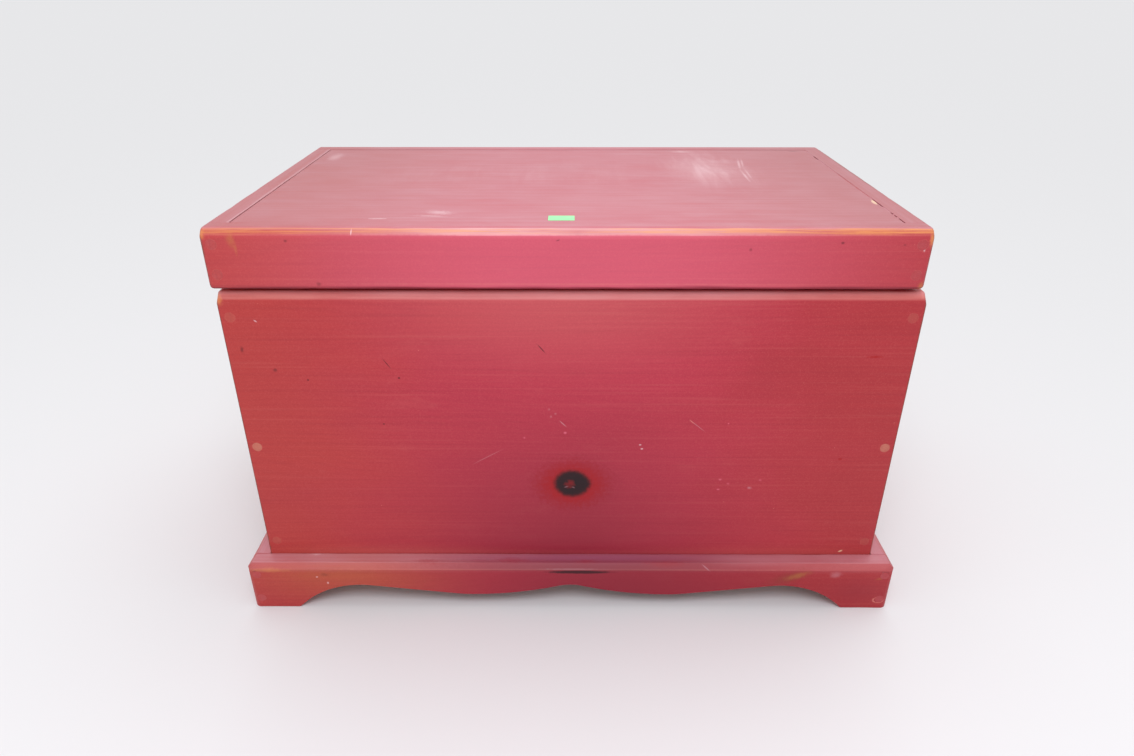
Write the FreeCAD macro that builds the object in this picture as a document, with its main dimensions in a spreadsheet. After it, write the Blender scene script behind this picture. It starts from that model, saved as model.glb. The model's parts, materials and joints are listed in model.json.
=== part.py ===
import FreeCAD, Part
import math
import os
import Sketcher

# Blanket chest: a plain pine box on a scalloped plinth, with a rimmed lid on two butt hinges.
# Millimetres. +X runs along the front to the right, +Y from the front to the back, +Z up.
# The origin is on the floor, in the middle of the plinth's outline.

SIZES = [
    # the box
    ("body_width", 870, "outside width of the box"),
    ("body_depth", 499, "outside depth of the box"),
    ("body_height", 435, "height of the box's boards"),
    ("body_floor_gap", 44, "from the floor to the lower edge of the box's boards"),
    ("board_thickness", 27, "thickness of the box's boards"),
    ("edge_chamfer", 8.5, "chamfer round the top of the box and along the lid's front"),
    ("body_round", 3, "rounding of the box's upright corners"),
    ("bottom_thickness", 15, "thickness of the bottom panel"),
    ("bottom_clearance", 0.5, "play round the bottom panel"),
    ("cleat_width", 20, "width of the square strips that carry the panels"),
    # the plinth
    ("skirt_thickness", 27, "thickness of the plinth's boards"),
    ("skirt_height", 77, "height of the plinth"),
    ("skirt_chamfer", 7.5, "chamfer along the plinth's top edge"),
    ("skirt_round", 4, "rounding of the plinth's upright corners"),
    ("foot_length", 68, "length of a foot along the floor"),
    ("arch_height", 41, "height of the arch beside a foot"),
    ("arch_run", 91, "from the foot's inner end to the top of the arch"),
    ("scallop_low", 24, "height of the front scallop's lowest points"),
    ("scallop_low_offset", 140, "from the middle to a lowest point"),
    ("scallop_low_radius", 220, "radius of the bend at a lowest point"),
    ("scallop_peak", 42, "height of the middle peak"),
    ("scallop_peak_radius", 65, "radius of the middle peak"),
    ("block_setback", 3, "from a foot's inner end to the block behind it"),
    # the lid
    ("lid_narrower", 6, "how much narrower the lid is than the box"),
    ("lid_overhang", 3, "how far the lid reaches past the front of the box"),
    ("lid_rim_height", 75.5, "height of the lid's rim boards"),
    ("lid_thickness", 27, "thickness of the lid's rim boards"),
    ("lid_gap", 4.5, "gap between the box and the closed lid"),
    ("lid_shift", -5.5, "from the middle of the box to the middle of the lid"),
    ("lid_round", 4, "rounding of the lid's ends and lower edges"),
    ("lid_panel_thickness", 19, "thickness of the lid's top panel"),
    ("lid_panel_seam", 1.5, "open seam at the ends and the back of the top panel"),
    ("bumper_radius", 6, "radius of the felt pads under the lid's front"),
    ("bumper_inset", 45, "from the end of the box to a felt pad"),
    ("bumper_clearance", 0.3, "clearance between a felt pad and the closed lid"),
    # plugged screws in the corners
    ("plug_radius", 6.35, "radius of the wooden plugs"),
    ("plug_depth", 6, "length of the wooden plugs"),
    ("screw_head_radius", 4.6, "radius of the corner screws' heads"),
    ("screw_head_height", 3, "height of the corner screws' heads"),
    ("screw_radius", 2.2, "radius of the corner screws' shanks"),
    ("screw_length", 46, "length of the corner screws under the head"),
    ("screw_point", 5, "length of a screw's point"),
    ("screw_tip_radius", 0.4, "radius of the blunt end of a screw's point"),
    ("hole_clearance", 0.15, "radial play of screws and plugs in their holes"),
    ("body_screw_low", 56, "from the box's lower edge to the lowest screws"),
    ("body_screw_middle", 214, "from the box's lower edge to the middle screws"),
    ("body_screw_top", 33, "from the box's top edge to the highest screws"),
    ("lid_screw_inset", 19, "from the rim's edges to its screws"),
    ("skirt_screw_inset", 17, "from the plinth's lower and top edges to its screws"),
    # small flat-headed screws in the strips, hinges and stays
    ("flat_head_radius", 3.4, "radius of the flat screws' heads"),
    ("flat_head_height", 1.7, "height of the flat screws' heads"),
    ("flat_radius", 1.6, "radius of the flat screws' shanks"),
    ("flat_length", 16, "length of the hinge and stay screws"),
    ("cleat_screw_length", 35, "length of the screws in the strips"),
    ("cleat_screw_inset", 70, "from the end of a strip to its first screw"),
    # hinges
    ("hinge_length", 76, "length of a hinge"),
    ("hinge_leaf_width", 24, "width of a leaf on its board"),
    ("hinge_leaf_thickness", 2.05, "thickness of a leaf"),
    ("hinge_barrel_radius", 4, "radius of the barrel"),
    ("hinge_barrel_gap", 0.6, "from the back of the boards to the barrel"),
    ("hinge_knuckle_play", 0.3, "play between two knuckles"),
    ("hinge_pin_radius", 1.8, "radius of the pin"),
    ("hinge_pin_play", 0.05, "radial play of the pin"),
    ("hinge_pin_head", 1.2, "thickness of the pin's heads"),
    ("hinge_pin_head_radius", 2.9, "radius of the pin's heads"),
    ("hinge_inset", 150, "from the end of the box to the middle of a hinge"),
    ("hinge_screw_inset", 12, "from the end of a leaf to its first screw"),
    # stays: slotted arms that hang on the lid and slide over studs on the box
    ("lid_opening", 100, "angle of the fully open lid, in degrees"),
    ("stay_reach", 168, "from the hinge axis forward to the arm's pivot"),
    ("stay_rise", 21, "from the hinge axis up to the arm's pivot"),
    ("stay_stud_reach", 120, "from the hinge axis forward to the stud"),
    ("stay_width", 16, "width of an arm"),
    ("stay_thickness", 2.5, "thickness of an arm"),
    ("stay_stud_radius", 2.75, "radius of the stud and the pivot"),
    ("stay_slot_play", 0.5, "play of the stud in the slot, at its sides and its ends"),
    ("stay_pivot_play", 0.05, "radial play of the pivot in the arm"),
    ("stay_side_play", 0.3, "play at each face of an arm"),
    ("stay_standoff", 4, "from the nearest wall to an arm"),
    ("stay_plate_radius", 14, "radius of the plate under a stud"),
    ("stay_plate_thickness", 2.5, "thickness of that plate"),
    ("stay_boss_radius", 5, "radius of the boss between the plate and the arm"),
    ("stay_head_radius", 5.5, "radius of a stud's head"),
    ("stay_head_height", 2, "thickness of a stud's head"),
    ("stay_screw_offset", 9.5, "from the middle of a plate to its screws"),
]

KNUCKLES = 5     # a hinge's knuckles; the box's leaf has the first, the third and the last

# Places and sizes that follow from the ones above.
PLACES = [
    ("half_width", "Sizes.body_width / 2"),
    ("half_depth", "Sizes.body_depth / 2"),
    ("inner_x", "half_width - Sizes.board_thickness"),
    ("inner_y", "half_depth - Sizes.board_thickness"),
    ("body_top", "Sizes.body_floor_gap + Sizes.body_height"),
    ("bottom_base", "Sizes.body_floor_gap + Sizes.cleat_width"),
    ("skirt_end", "half_width + Sizes.skirt_thickness"),
    ("skirt_front", "half_depth + Sizes.skirt_thickness"),
    ("skirt_screw_x", "half_width + Sizes.skirt_thickness / 2"),
    ("block_side", "Sizes.foot_length - Sizes.skirt_thickness - Sizes.block_setback"),
    ("lid_base", "body_top + Sizes.lid_gap"),
    ("lid_top", "lid_base + Sizes.lid_rim_height"),
    ("lid_back", "half_depth"),
    ("lid_front", "-half_depth - Sizes.lid_overhang"),
    ("lid_left", "Sizes.lid_shift - half_width + Sizes.lid_narrower / 2"),
    ("lid_right", "Sizes.lid_shift + half_width - Sizes.lid_narrower / 2"),
    ("rim_left", "lid_left + Sizes.lid_thickness"),
    ("rim_right", "lid_right - Sizes.lid_thickness"),
    ("rim_front", "lid_front + Sizes.lid_thickness"),
    ("rim_back", "lid_back - Sizes.lid_thickness"),
    ("panel_base", "lid_top - Sizes.lid_panel_thickness"),
    ("lid_cleat_base", "panel_base - Sizes.cleat_width"),
    ("body_screw_x", "half_width - Sizes.board_thickness / 2"),
    ("hinge_y", "half_depth + Sizes.hinge_barrel_radius + Sizes.hinge_barrel_gap"),
    ("hinge_z", "body_top + Sizes.lid_gap / 2"),
    ("hinge_x", "half_width - Sizes.hinge_inset"),
    ("knuckle_pitch", f"Sizes.hinge_length / {KNUCKLES}"),
    ("stay_radius", "sqrt(Sizes.stay_reach ^ 2 + Sizes.stay_rise ^ 2)"),
    ("stay_stud_drop", "sqrt(stay_radius ^ 2 - Sizes.stay_stud_reach ^ 2)"),
    ("stay_lean", "Sizes.stay_reach - Sizes.stay_stud_reach"),
    ("stay_fall", "Sizes.stay_rise + stay_stud_drop"),
    ("stay_closed", "sqrt(stay_lean ^ 2 + stay_fall ^ 2)"),
    ("stay_half_angle", "asin(stay_closed / (2 * stay_radius)) + Sizes.lid_opening / 2 * 1 deg"),
    ("stay_open", "2 * stay_radius * sin(stay_half_angle)"),
    ("pivot_y", "hinge_y - Sizes.stay_reach"),
    ("pivot_z", "hinge_z + Sizes.stay_rise"),
    ("stud_y", "hinge_y - Sizes.stay_stud_reach"),
    ("stud_z", "hinge_z - stay_stud_drop"),
    ("left_plane", "min(inner_x; -rim_left) - Sizes.stay_standoff"),
    ("right_plane", "min(inner_x; rim_right) - Sizes.stay_standoff"),
]

# Turns that point a cylinder's axis, which starts along +Z, the other ways.
TURNS = {
    "+X": FreeCAD.Rotation(FreeCAD.Vector(0, 1, 0), 90),
    "-X": FreeCAD.Rotation(FreeCAD.Vector(0, 1, 0), -90),
    "+Y": FreeCAD.Rotation(FreeCAD.Vector(1, 0, 0), -90),
    "-Y": FreeCAD.Rotation(FreeCAD.Vector(1, 0, 0), 90),
    "+Z": FreeCAD.Rotation(),
    "-Z": FreeCAD.Rotation(FreeCAD.Vector(1, 0, 0), 180),
}
# How a sketch's constraints number its axes, its origin and the points of a line or an arc.
X_AXIS, Y_AXIS = range(-1, -3, -1)
ORIGIN = X_AXIS
START, END, CENTRE = range(1, 4)
NEAR = 1e-4      # how close an edge lies to a side that it is on

doc = FreeCAD.newDocument("blanket_chest")
sub_parts = {}


# ---------------------------------------------------------------- the sheets
def fill_sheets():
    """Write the driving sizes, and the places worked out from them, to two sheets."""
    sizes = doc.addObject("Spreadsheet::Sheet", "Sizes")
    for row, (alias, value, meaning) in enumerate(SIZES, start=1):
        sizes.set(f"A{row}", str(value))
        sizes.setAlias(f"A{row}", alias)
        sizes.set(f"B{row}", meaning)
    places = doc.addObject("Spreadsheet::Sheet", "Places")
    for row, (alias, formula) in enumerate(PLACES, start=1):
        places.set(f"A{row}", "=" + formula)
        places.setAlias(f"A{row}", alias)
    doc.recompute()


def size(alias):
    """Expression that names a driving size."""
    return f"Sizes.{alias}"


def place(alias):
    """Expression that names a place worked out from the sizes."""
    return f"Places.{alias}"


def minus(expression):
    """Expression for the same distance on the other side."""
    return f"-({expression})"


def value(expression):
    """The number that an expression stands for now."""
    found = doc.getObject("Sizes").evalExpression(expression)
    return float(getattr(found, "Value", found))


# ---------------------------------------------------------------- helpers
def bind(thing, **expressions):
    """Bind properties of an object to expressions."""
    for name, expression in expressions.items():
        thing.setExpression(name, expression)


def put(thing, at):
    """Bind an object's place to three expressions."""
    for axis, expression in zip("xyz", at):
        thing.setExpression(f"Placement.Base.{axis}", expression)


def moved(at, along, distance):
    """The point at some distance from another, along a direction."""
    axis = "XYZ".index(along[1])
    point = list(at)
    point[axis] = f"{point[axis]} {along[0]} ({distance})"
    return tuple(point)


def keep(label, thing):
    """Name a finished sub-part."""
    thing.Label = label
    sub_parts[label] = thing
    return thing


def turned(name, at, along, steps):
    """A turned solid: coaxial cylinders and cones, each (first radius, last radius, length)."""
    sections = []
    for number, (first, last, length) in enumerate(steps, start=1):
        if first == last:
            section = doc.addObject("Part::Cylinder", f"{name}_{number}")
            bind(section, Radius=first, Height=length)
        else:
            section = doc.addObject("Part::Cone", f"{name}_{number}")
            bind(section, Radius1=first, Radius2=last, Height=length)
        section.Placement.Rotation = TURNS[along]
        put(section, at)
        at = moved(at, along, length)
        sections.append(section)
    return fused(name, sections)


def fused(name, pieces):
    """One solid of several that touch."""
    if len(pieces) == 1:
        return pieces[0]
    joined = doc.addObject("Part::MultiFuse", name)
    joined.Shapes = pieces
    joined.Refine = True
    return joined


def grouped(name, pieces):
    """Several separate solids in one object."""
    group = doc.addObject("Part::Compound", name)
    group.Links = pieces
    return group


def box(name, low, high):
    """A rectangular block between two corners."""
    block = doc.addObject("Part::Box", name)
    spans = [f"({end}) - ({start})" for start, end in zip(low, high)]
    bind(block, Length=spans[0], Width=spans[1], Height=spans[2])
    put(block, low)
    return block


def cut(name, base, tools):
    """A solid less the tools."""
    result = doc.addObject("Part::Cut", name)
    result.Base = base
    result.Tool = tools[0] if len(tools) == 1 else grouped(f"{name}_holes", tools)
    result.Refine = True
    return result


# ---------------------------------------------------------------- sketches and boards
def sketch_on(body, plane):
    """A new sketch on one of a body's own planes."""
    sketch = body.newObject("Sketcher::SketchObject", f"{body.Name}_outline")
    planes = [feature for feature in body.Origin.OriginFeatures if feature.Role == plane]
    sketch.AttachmentSupport = [(planes[0], "")]
    sketch.MapMode = "FlatFace"
    return sketch


def measure(sketch, kind, *where, expression):
    """Add a dimension to a sketch and bind it to an expression."""
    index = sketch.addConstraint(Sketcher.Constraint(kind, *where, value(expression)))
    sketch.renameConstraint(index, f"size_{index}")
    sketch.setExpression(f"Constraints.size_{index}", expression)


def line(sketch, start, end):
    """Add a line between two points (x, y) to a sketch."""
    ends = [FreeCAD.Vector(x, y, 0) for x, y in (start, end)]
    return sketch.addGeometry(Part.LineSegment(*ends), False)


def arc(sketch, centre, start, end):
    """Add an arc, counterclockwise about its centre from one point to another."""
    radius = math.dist(centre, start)
    angles = [math.atan2(y - centre[1], x - centre[0]) for x, y in (start, end)]
    circle = Part.Circle(FreeCAD.Vector(*centre, 0), FreeCAD.Vector(0, 0, 1), radius)
    return sketch.addGeometry(Part.ArcOfCircle(circle, *angles), False)


def constrain(sketch, kind, *pairs):
    """Add one constraint of a kind for each tuple of places."""
    for where in pairs:
        sketch.addConstraint(Sketcher.Constraint(kind, *where))


def rectangle(sketch, length, width):
    """Draw a rectangle from the sketch's origin, with bound sides."""
    across, up = value(length), value(width)
    corners = [(0, 0), (across, 0), (across, up), (0, up)]
    sides = [line(sketch, *ends) for ends in zip(corners, corners[1:] + corners[:1])]
    for side, following in zip(sides, sides[1:] + sides[:1]):
        constrain(sketch, "Coincident", (side, END, following, START))
    constrain(sketch, "Coincident", (sides[0], START, ORIGIN, START))
    constrain(sketch, "Horizontal", (sides[0],), (sides[2],))
    constrain(sketch, "Vertical", (sides[1],), (sides[3],))
    measure(sketch, "DistanceX", sides[0], START, sides[0], END, expression=length)
    measure(sketch, "DistanceY", sides[1], START, sides[1], END, expression=width)


def pad(body, sketch, length):
    """Give a sketch its thickness."""
    solid = body.newObject("PartDesign::Pad", f"{body.Name}_pad")
    solid.Profile = sketch
    bind(solid, Length=length)
    sketch.Visibility = False
    return solid


def edges_on(shape, sides):
    """Names of the edges that lie on all the named sides of a shape, and off those with a "!"."""
    outer = shape.BoundBox

    def lies_on(edge, side):
        inner = edge.BoundBox
        distances = {
            "left": inner.XMax - outer.XMin,
            "right": outer.XMax - inner.XMin,
            "front": inner.YMax - outer.YMin,
            "back": outer.YMax - inner.YMin,
            "bottom": inner.ZMax - outer.ZMin,
            "top": outer.ZMax - inner.ZMin,
        }
        return abs(distances[side]) < NEAR

    names = []
    for number, edge in enumerate(shape.Edges, start=1):
        if all(lies_on(edge, side.strip("!")) != side.startswith("!") for side in sides.split()):
            names.append(f"Edge{number}")
    return names


def ease(body, kind, expression, *places):
    """Chamfer or fillet the edges of a body that lie on the named sides."""
    doc.recompute()
    last = body.Tip
    names = sorted({name for sides in places for name in edges_on(last.Shape, sides)})
    feature = body.newObject(f"PartDesign::{kind}", f"{body.Name}_{kind}")
    feature.Base = (last, names)
    bind(feature, **{"Size" if kind == "Chamfer" else "Radius": expression})
    body.Tip = feature
    return feature


def board(name, low, high):
    """A squared board between two corners."""
    body = doc.addObject("PartDesign::Body", f"{name}_board")
    spans = [f"({end}) - ({start})" for start, end in zip(low, high)]
    sketch = sketch_on(body, "XY_Plane")
    rectangle(sketch, spans[0], spans[1])
    pad(body, sketch, spans[2])
    put(body, low)
    return body


# ---------------------------------------------------------------- fasteners
def plugged_screw(name, at, along):
    """A screw sunk below a wooden plug: its hole, the screw and the plug."""
    play = size("hole_clearance")
    bore_radius = f"{size('plug_radius')} + {play}"
    bore_depth = f"{size('plug_depth')} + {size('screw_head_height')}"
    shank = size("screw_radius")
    hole_radius = f"{shank} + {play}"
    hole = turned(f"{name}_hole", at, along, [
        (bore_radius, bore_radius, bore_depth),
        (hole_radius, hole_radius, f"{size('screw_length')} + {play}"),
    ])
    plug = turned(f"{name}_plug", at, along, [
        (size("plug_radius"), size("plug_radius"), size("plug_depth")),
    ])
    screw = turned(f"{name}_screw", moved(at, along, size("plug_depth")), along, [
        (size("screw_head_radius"), size("screw_head_radius"), size("screw_head_height")),
        (shank, shank, f"{size('screw_length')} - {size('screw_point')}"),
        (shank, size("screw_tip_radius"), size("screw_point")),
    ])
    return hole, screw, plug


def flat_screw(name, at, along, length):
    """A flat-headed screw, flush with what it holds: its hole and the screw."""
    play = size("hole_clearance")
    head, shank = size("flat_head_radius"), size("flat_radius")
    hole = turned(f"{name}_hole", at, along, [
        (f"{head} + {play}", f"{shank} + {play}", size("flat_head_height")),
        (f"{shank} + {play}", f"{shank} + {play}", f"{length} - {size('flat_head_height')} + {play}"),
    ])
    screw = turned(f"{name}_screw", at, along, [
        (head, shank, size("flat_head_height")),
        (shank, shank, f"{length} - {size('flat_head_height')} - {size('screw_point')}"),
        (shank, size("screw_tip_radius"), size("screw_point")),
    ])
    return hole, screw


def corner_screws(name, columns, rows, front, back):
    """Plugged screws through the front and the back, in columns and rows."""
    found = {}
    for side, face, along in (("front", front, "+Y"), ("back", back, "-Y")):
        for column, across in enumerate(columns, start=1):
            for row, up in enumerate(rows, start=1):
                found[side, column, row] = plugged_screw(
                    f"{name}_{side}_{column}{row}", (across, face, up), along)
    return found


def holes_of(screws, *key):
    """The holes of those screws whose key starts as given or, with None, at any place."""
    return [pieces[0] for place_of, pieces in screws.items()
            if all(wanted in (None, got) for wanted, got in zip(key, place_of))]


# ---------------------------------------------------------------- the box
def make_box():
    """The four boards of the box, screwed through the front and the back into the ends."""
    low, top = size("body_floor_gap"), place("body_top")
    wide, deep = place("half_width"), place("half_depth")
    inner_x, inner_y = place("inner_x"), place("inner_y")
    screws = corner_screws(
        "body", (minus(place("body_screw_x")), place("body_screw_x")),
        (f"{low} + {size('body_screw_low')}", f"{low} + {size('body_screw_middle')}",
         f"{top} - {size('body_screw_top')}"), minus(deep), deep)

    front = board("front", (minus(wide), minus(deep), low), (wide, minus(inner_y), top))
    ease(front, "Chamfer", size("edge_chamfer"), "front top", "left top", "right top")
    ease(front, "Fillet", size("body_round"), "front left", "front right")
    back = board("back", (minus(wide), inner_y, low), (wide, deep, top))
    ease(back, "Chamfer", size("edge_chamfer"), "left top", "right top")
    ease(back, "Fillet", size("body_round"), "back left", "back right")
    left = board("left_end", (minus(wide), minus(inner_y), low), (minus(inner_x), inner_y, top))
    ease(left, "Chamfer", size("edge_chamfer"), "left top")
    right = board("right_end", (inner_x, minus(inner_y), low), (wide, inner_y, top))
    ease(right, "Chamfer", size("edge_chamfer"), "right top")

    keep("body_screws", grouped("body_screw_group", [pieces[1] for pieces in screws.values()]))
    keep("body_plugs", grouped("body_plug_group", [pieces[2] for pieces in screws.values()]))
    return front, back, left, right, screws


def make_bottom():
    """The bottom panel on four strips, screwed to the boards from inside."""
    low, high = size("body_floor_gap"), place("bottom_base")
    inner_x, inner_y, strip = place("inner_x"), place("inner_y"), size("cleat_width")
    strip_x, strip_y = f"({inner_x} - {strip})", f"({inner_y} - {strip})"
    middle = f"{low} + {strip} / 2"
    spans = {
        "front": ((minus(inner_x), minus(inner_y), low), (inner_x, minus(strip_y), high)),
        "back": ((minus(inner_x), strip_y, low), (inner_x, inner_y, high)),
        "left": ((minus(inner_x), minus(strip_y), low), (minus(strip_x), strip_y, high)),
        "right": ((strip_x, minus(strip_y), low), (inner_x, strip_y, high)),
    }
    inset = size("cleat_screw_inset")
    across = [minus(f"{inner_x} - {inset}"), "0", f"{inner_x} - {inset}"]
    along = [minus(f"{inner_y} - {inset}"), f"{inner_y} - {inset}"]
    starts = {
        "front": [((x, minus(strip_y), middle), "-Y") for x in across],
        "back": [((x, strip_y, middle), "+Y") for x in across],
        "left": [((minus(strip_x), y, middle), "-X") for y in along],
        "right": [((strip_x, y, middle), "+X") for y in along],
    }
    holes, screws = strip_screws("bottom", starts)
    for side, (corner, opposite) in spans.items():
        strip_box = box(f"{side}_bottom_strip", corner, opposite)
        keep(f"{side}_bottom_cleat", cut(f"{side}_bottom_cleat_cut", strip_box, holes[side]))
    keep("bottom_cleat_screws", grouped("bottom_cleat_screw_group", screws))

    play = size("bottom_clearance")
    edge_x, edge_y = f"({inner_x} - {play})", f"({inner_y} - {play})"
    keep("bottom_panel", board(
        "bottom", (minus(edge_x), minus(edge_y), high),
        (edge_x, edge_y, f"{high} + {size('bottom_thickness')}")))
    return holes


def strip_screws(name, starts):
    """Flat screws through strips into the boards behind them: holes by side, and all screws."""
    holes, screws = {}, []
    for side, points in starts.items():
        pairs = [flat_screw(f"{name}_{side}_{number}", at, along, size("cleat_screw_length"))
                 for number, (at, along) in enumerate(points, start=1)]
        holes[side] = [pair[0] for pair in pairs]
        screws += [pair[1] for pair in pairs]
    return holes, screws


# ---------------------------------------------------------------- the plinth
def skirt_outline(sketch, half_length, foot, scalloped):
    """Half of a plinth board: its middle on the sketch's Y axis and its foot on the X axis.

    The arch is one arc from the foot over its top. On the front board a straight slope leads
    from it to the low point, and two arcs from there to the middle peak."""
    arch, run = size("arch_height"), size("arch_run")
    arch_radius = f"(({run} ^ 2 + {arch} ^ 2) / (2 * {arch}))"
    end, height = value(half_length), value(size("skirt_height"))
    foot_end = end - value(foot)
    top_x, radius = foot_end - value(run), value(arch_radius)
    arch_centre = (top_x, value(arch) - radius)

    top_line = line(sketch, (0, height), (end, height))
    end_line = line(sketch, (end, height), (end, 0))
    foot_line = line(sketch, (end, 0), (foot_end, 0))
    constrain(sketch, "Coincident", (top_line, END, end_line, START),
              (end_line, END, foot_line, START))
    constrain(sketch, "Horizontal", (top_line,), (foot_line,))
    constrain(sketch, "Vertical", (end_line,))
    constrain(sketch, "PointOnObject", (top_line, START, Y_AXIS), (foot_line, START, X_AXIS))
    measure(sketch, "DistanceX", ORIGIN, START, end_line, END, expression=half_length)
    measure(sketch, "DistanceY", end_line, END, end_line, START, expression=size("skirt_height"))
    measure(sketch, "DistanceX", foot_line, END, foot_line, START, expression=foot)

    if scalloped:
        arch_arc, last_line = scallop(sketch, arch_centre, radius, (foot_end, 0))
        middle = value(size("scallop_peak"))
        measure(sketch, "DistanceY", arch_arc, CENTRE, ORIGIN, START,
                expression=f"{arch_radius} - {arch}")
    else:
        arch_arc = arc(sketch, arch_centre, (foot_end, 0), (top_x, value(arch)))
        last_line = line(sketch, (top_x, value(arch)), (0, value(arch)))
        middle = value(arch)
        constrain(sketch, "Tangent", (arch_arc, END, last_line, START))
        constrain(sketch, "Horizontal", (last_line,))
        measure(sketch, "Radius", arch_arc, expression=arch_radius)
    constrain(sketch, "Coincident", (foot_line, END, arch_arc, START))
    measure(sketch, "DistanceX", arch_arc, CENTRE, foot_line, END, expression=run)
    middle_line = line(sketch, (0, middle), (0, height))
    constrain(sketch, "Coincident", (last_line, END, middle_line, START),
              (middle_line, END, top_line, START))
    constrain(sketch, "Vertical", (middle_line,))


def scallop(sketch, arch_centre, arch_radius, foot_end):
    """The front board's lower edge, from the arch beside a foot to the middle peak.

    Gives its first and its last arc."""
    low, low_x = value(size("scallop_low")), value(size("scallop_low_offset"))
    low_radius = value(size("scallop_low_radius"))
    peak, peak_radius = value(size("scallop_peak")), value(size("scallop_peak_radius"))
    low_centre = (low_x, low + low_radius)
    # The slope touches the arch from above and the bend at the low point from below.
    between = (arch_centre[0] - low_centre[0], arch_centre[1] - low_centre[1])
    apart = math.hypot(*between)
    turn = math.atan2(between[1], between[0]) - math.acos((arch_radius + low_radius) / apart)
    normal = (math.cos(turn), math.sin(turn))
    slope_low = tuple(c + low_radius * n for c, n in zip(low_centre, normal))
    slope_high = tuple(c - arch_radius * n for c, n in zip(arch_centre, normal))
    # The long arc leaves the low point level and touches the peak's arc.
    rise = peak - low
    reach = (low_x ** 2 + rise ** 2) / (2 * rise)
    flank_radius = reach - peak_radius
    flank_centre, peak_centre = (low_x, low + flank_radius), (0, peak - peak_radius)
    flank_end = tuple(p + (f - p) * peak_radius / reach for p, f in zip(peak_centre, flank_centre))

    arch_arc = arc(sketch, arch_centre, foot_end, slope_high)
    slope = line(sketch, slope_high, slope_low)
    low_arc = arc(sketch, low_centre, (low_x, low), slope_low)
    flank_arc = arc(sketch, flank_centre, flank_end, (low_x, low))
    peak_arc = arc(sketch, peak_centre, flank_end, (0, peak))
    constrain(sketch, "Tangent", (arch_arc, END, slope, START), (slope, END, low_arc, END),
              (flank_arc, START, peak_arc, START))
    constrain(sketch, "Coincident", (low_arc, START, flank_arc, END))
    constrain(sketch, "PointOnObject", (peak_arc, CENTRE, Y_AXIS))
    for place_of in ((low_arc, CENTRE), (low_arc, START), (flank_arc, CENTRE)):
        measure(sketch, "DistanceX", ORIGIN, START, *place_of, expression=size("scallop_low_offset"))
    measure(sketch, "Radius", low_arc, expression=size("scallop_low_radius"))
    measure(sketch, "DistanceY", ORIGIN, START, low_arc, CENTRE,
            expression=f"{size('scallop_low')} + {size('scallop_low_radius')}")
    measure(sketch, "Radius", peak_arc, expression=size("scallop_peak_radius"))
    measure(sketch, "DistanceY", peak_arc, CENTRE, ORIGIN, START,
            expression=f"{size('scallop_peak_radius')} - {size('scallop_peak')}")
    return arch_arc, peak_arc


def skirt(name, half_length, foot, scalloped, turn, at):
    """A plinth board. It is drawn as the front one, and turned about the upright axis."""
    body = doc.addObject("PartDesign::Body", f"{name}_board")
    sketch = sketch_on(body, "XZ_Plane")
    skirt_outline(sketch, half_length, foot, scalloped)
    half = pad(body, sketch, size("skirt_thickness"))
    mirrored = body.newObject("PartDesign::Mirrored", f"{name}_whole")
    mirrored.Originals = [half]
    mirrored.MirrorPlane = (sketch, ["V_Axis"])
    body.Tip = mirrored
    body.Placement.Rotation = FreeCAD.Rotation(FreeCAD.Vector(0, 0, 1), turn)
    put(body, at)
    return body


def make_plinth():
    """The four plinth boards, screwed through the front and the back into the sides."""
    wide, deep, end = place("half_width"), place("half_depth"), place("skirt_end")
    foot = size("foot_length")
    side_foot = f"{foot} - {size('skirt_thickness')}"
    inset = size("skirt_screw_inset")
    screws = corner_screws(
        "skirt", (minus(place("skirt_screw_x")), place("skirt_screw_x")),
        (inset, f"{size('skirt_height')} - {inset}"),
        minus(place("skirt_front")), place("skirt_front"))
    boards = {
        "front_skirt": skirt("front_skirt", end, foot, True, 0, ("0", minus(deep), "0")),
        "back_skirt": skirt("back_skirt", end, foot, False, 180, ("0", deep, "0")),
        "left_skirt": skirt("left_skirt", deep, side_foot, False, -90, (minus(wide), "0", "0")),
        "right_skirt": skirt("right_skirt", deep, side_foot, False, 90, (wide, "0", "0")),
    }
    holes = {
        "front_skirt": holes_of(screws, "front"),
        "back_skirt": holes_of(screws, "back"),
        "left_skirt": holes_of(screws, None, 1),
        "right_skirt": holes_of(screws, None, 2),
    }
    for label, body in boards.items():
        if label in ("front_skirt", "back_skirt"):
            ease(body, "Chamfer", size("skirt_chamfer"), "front top", "left top", "right top")
            ease(body, "Fillet", size("skirt_round"), "front left", "front right")
        else:
            ease(body, "Chamfer", size("skirt_chamfer"), "front top")
        keep(label, cut(f"{label}_cut", body, holes[label]))
    keep("skirt_screws", grouped("skirt_screw_group", [pieces[1] for pieces in screws.values()]))
    keep("skirt_plugs", grouped("skirt_plug_group", [pieces[2] for pieces in screws.values()]))


def make_foot_blocks():
    """Square blocks glued inside the corners of the plinth, under the box's boards."""
    wide, deep, side = place("half_width"), place("half_depth"), place("block_side")
    spans_x = {"left": (minus(wide), f"{side} - {wide}"), "right": (f"{wide} - {side}", wide)}
    spans_y = {"front": (minus(deep), f"{side} - {deep}"), "back": (f"{deep} - {side}", deep)}
    for depth_name, (near, far) in spans_y.items():
        for width_name, (left, right) in spans_x.items():
            label = f"{depth_name}_{width_name}_foot_block"
            keep(label, box(f"{label}_box", (left, near, "0"), (right, far, size("body_floor_gap"))))


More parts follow.
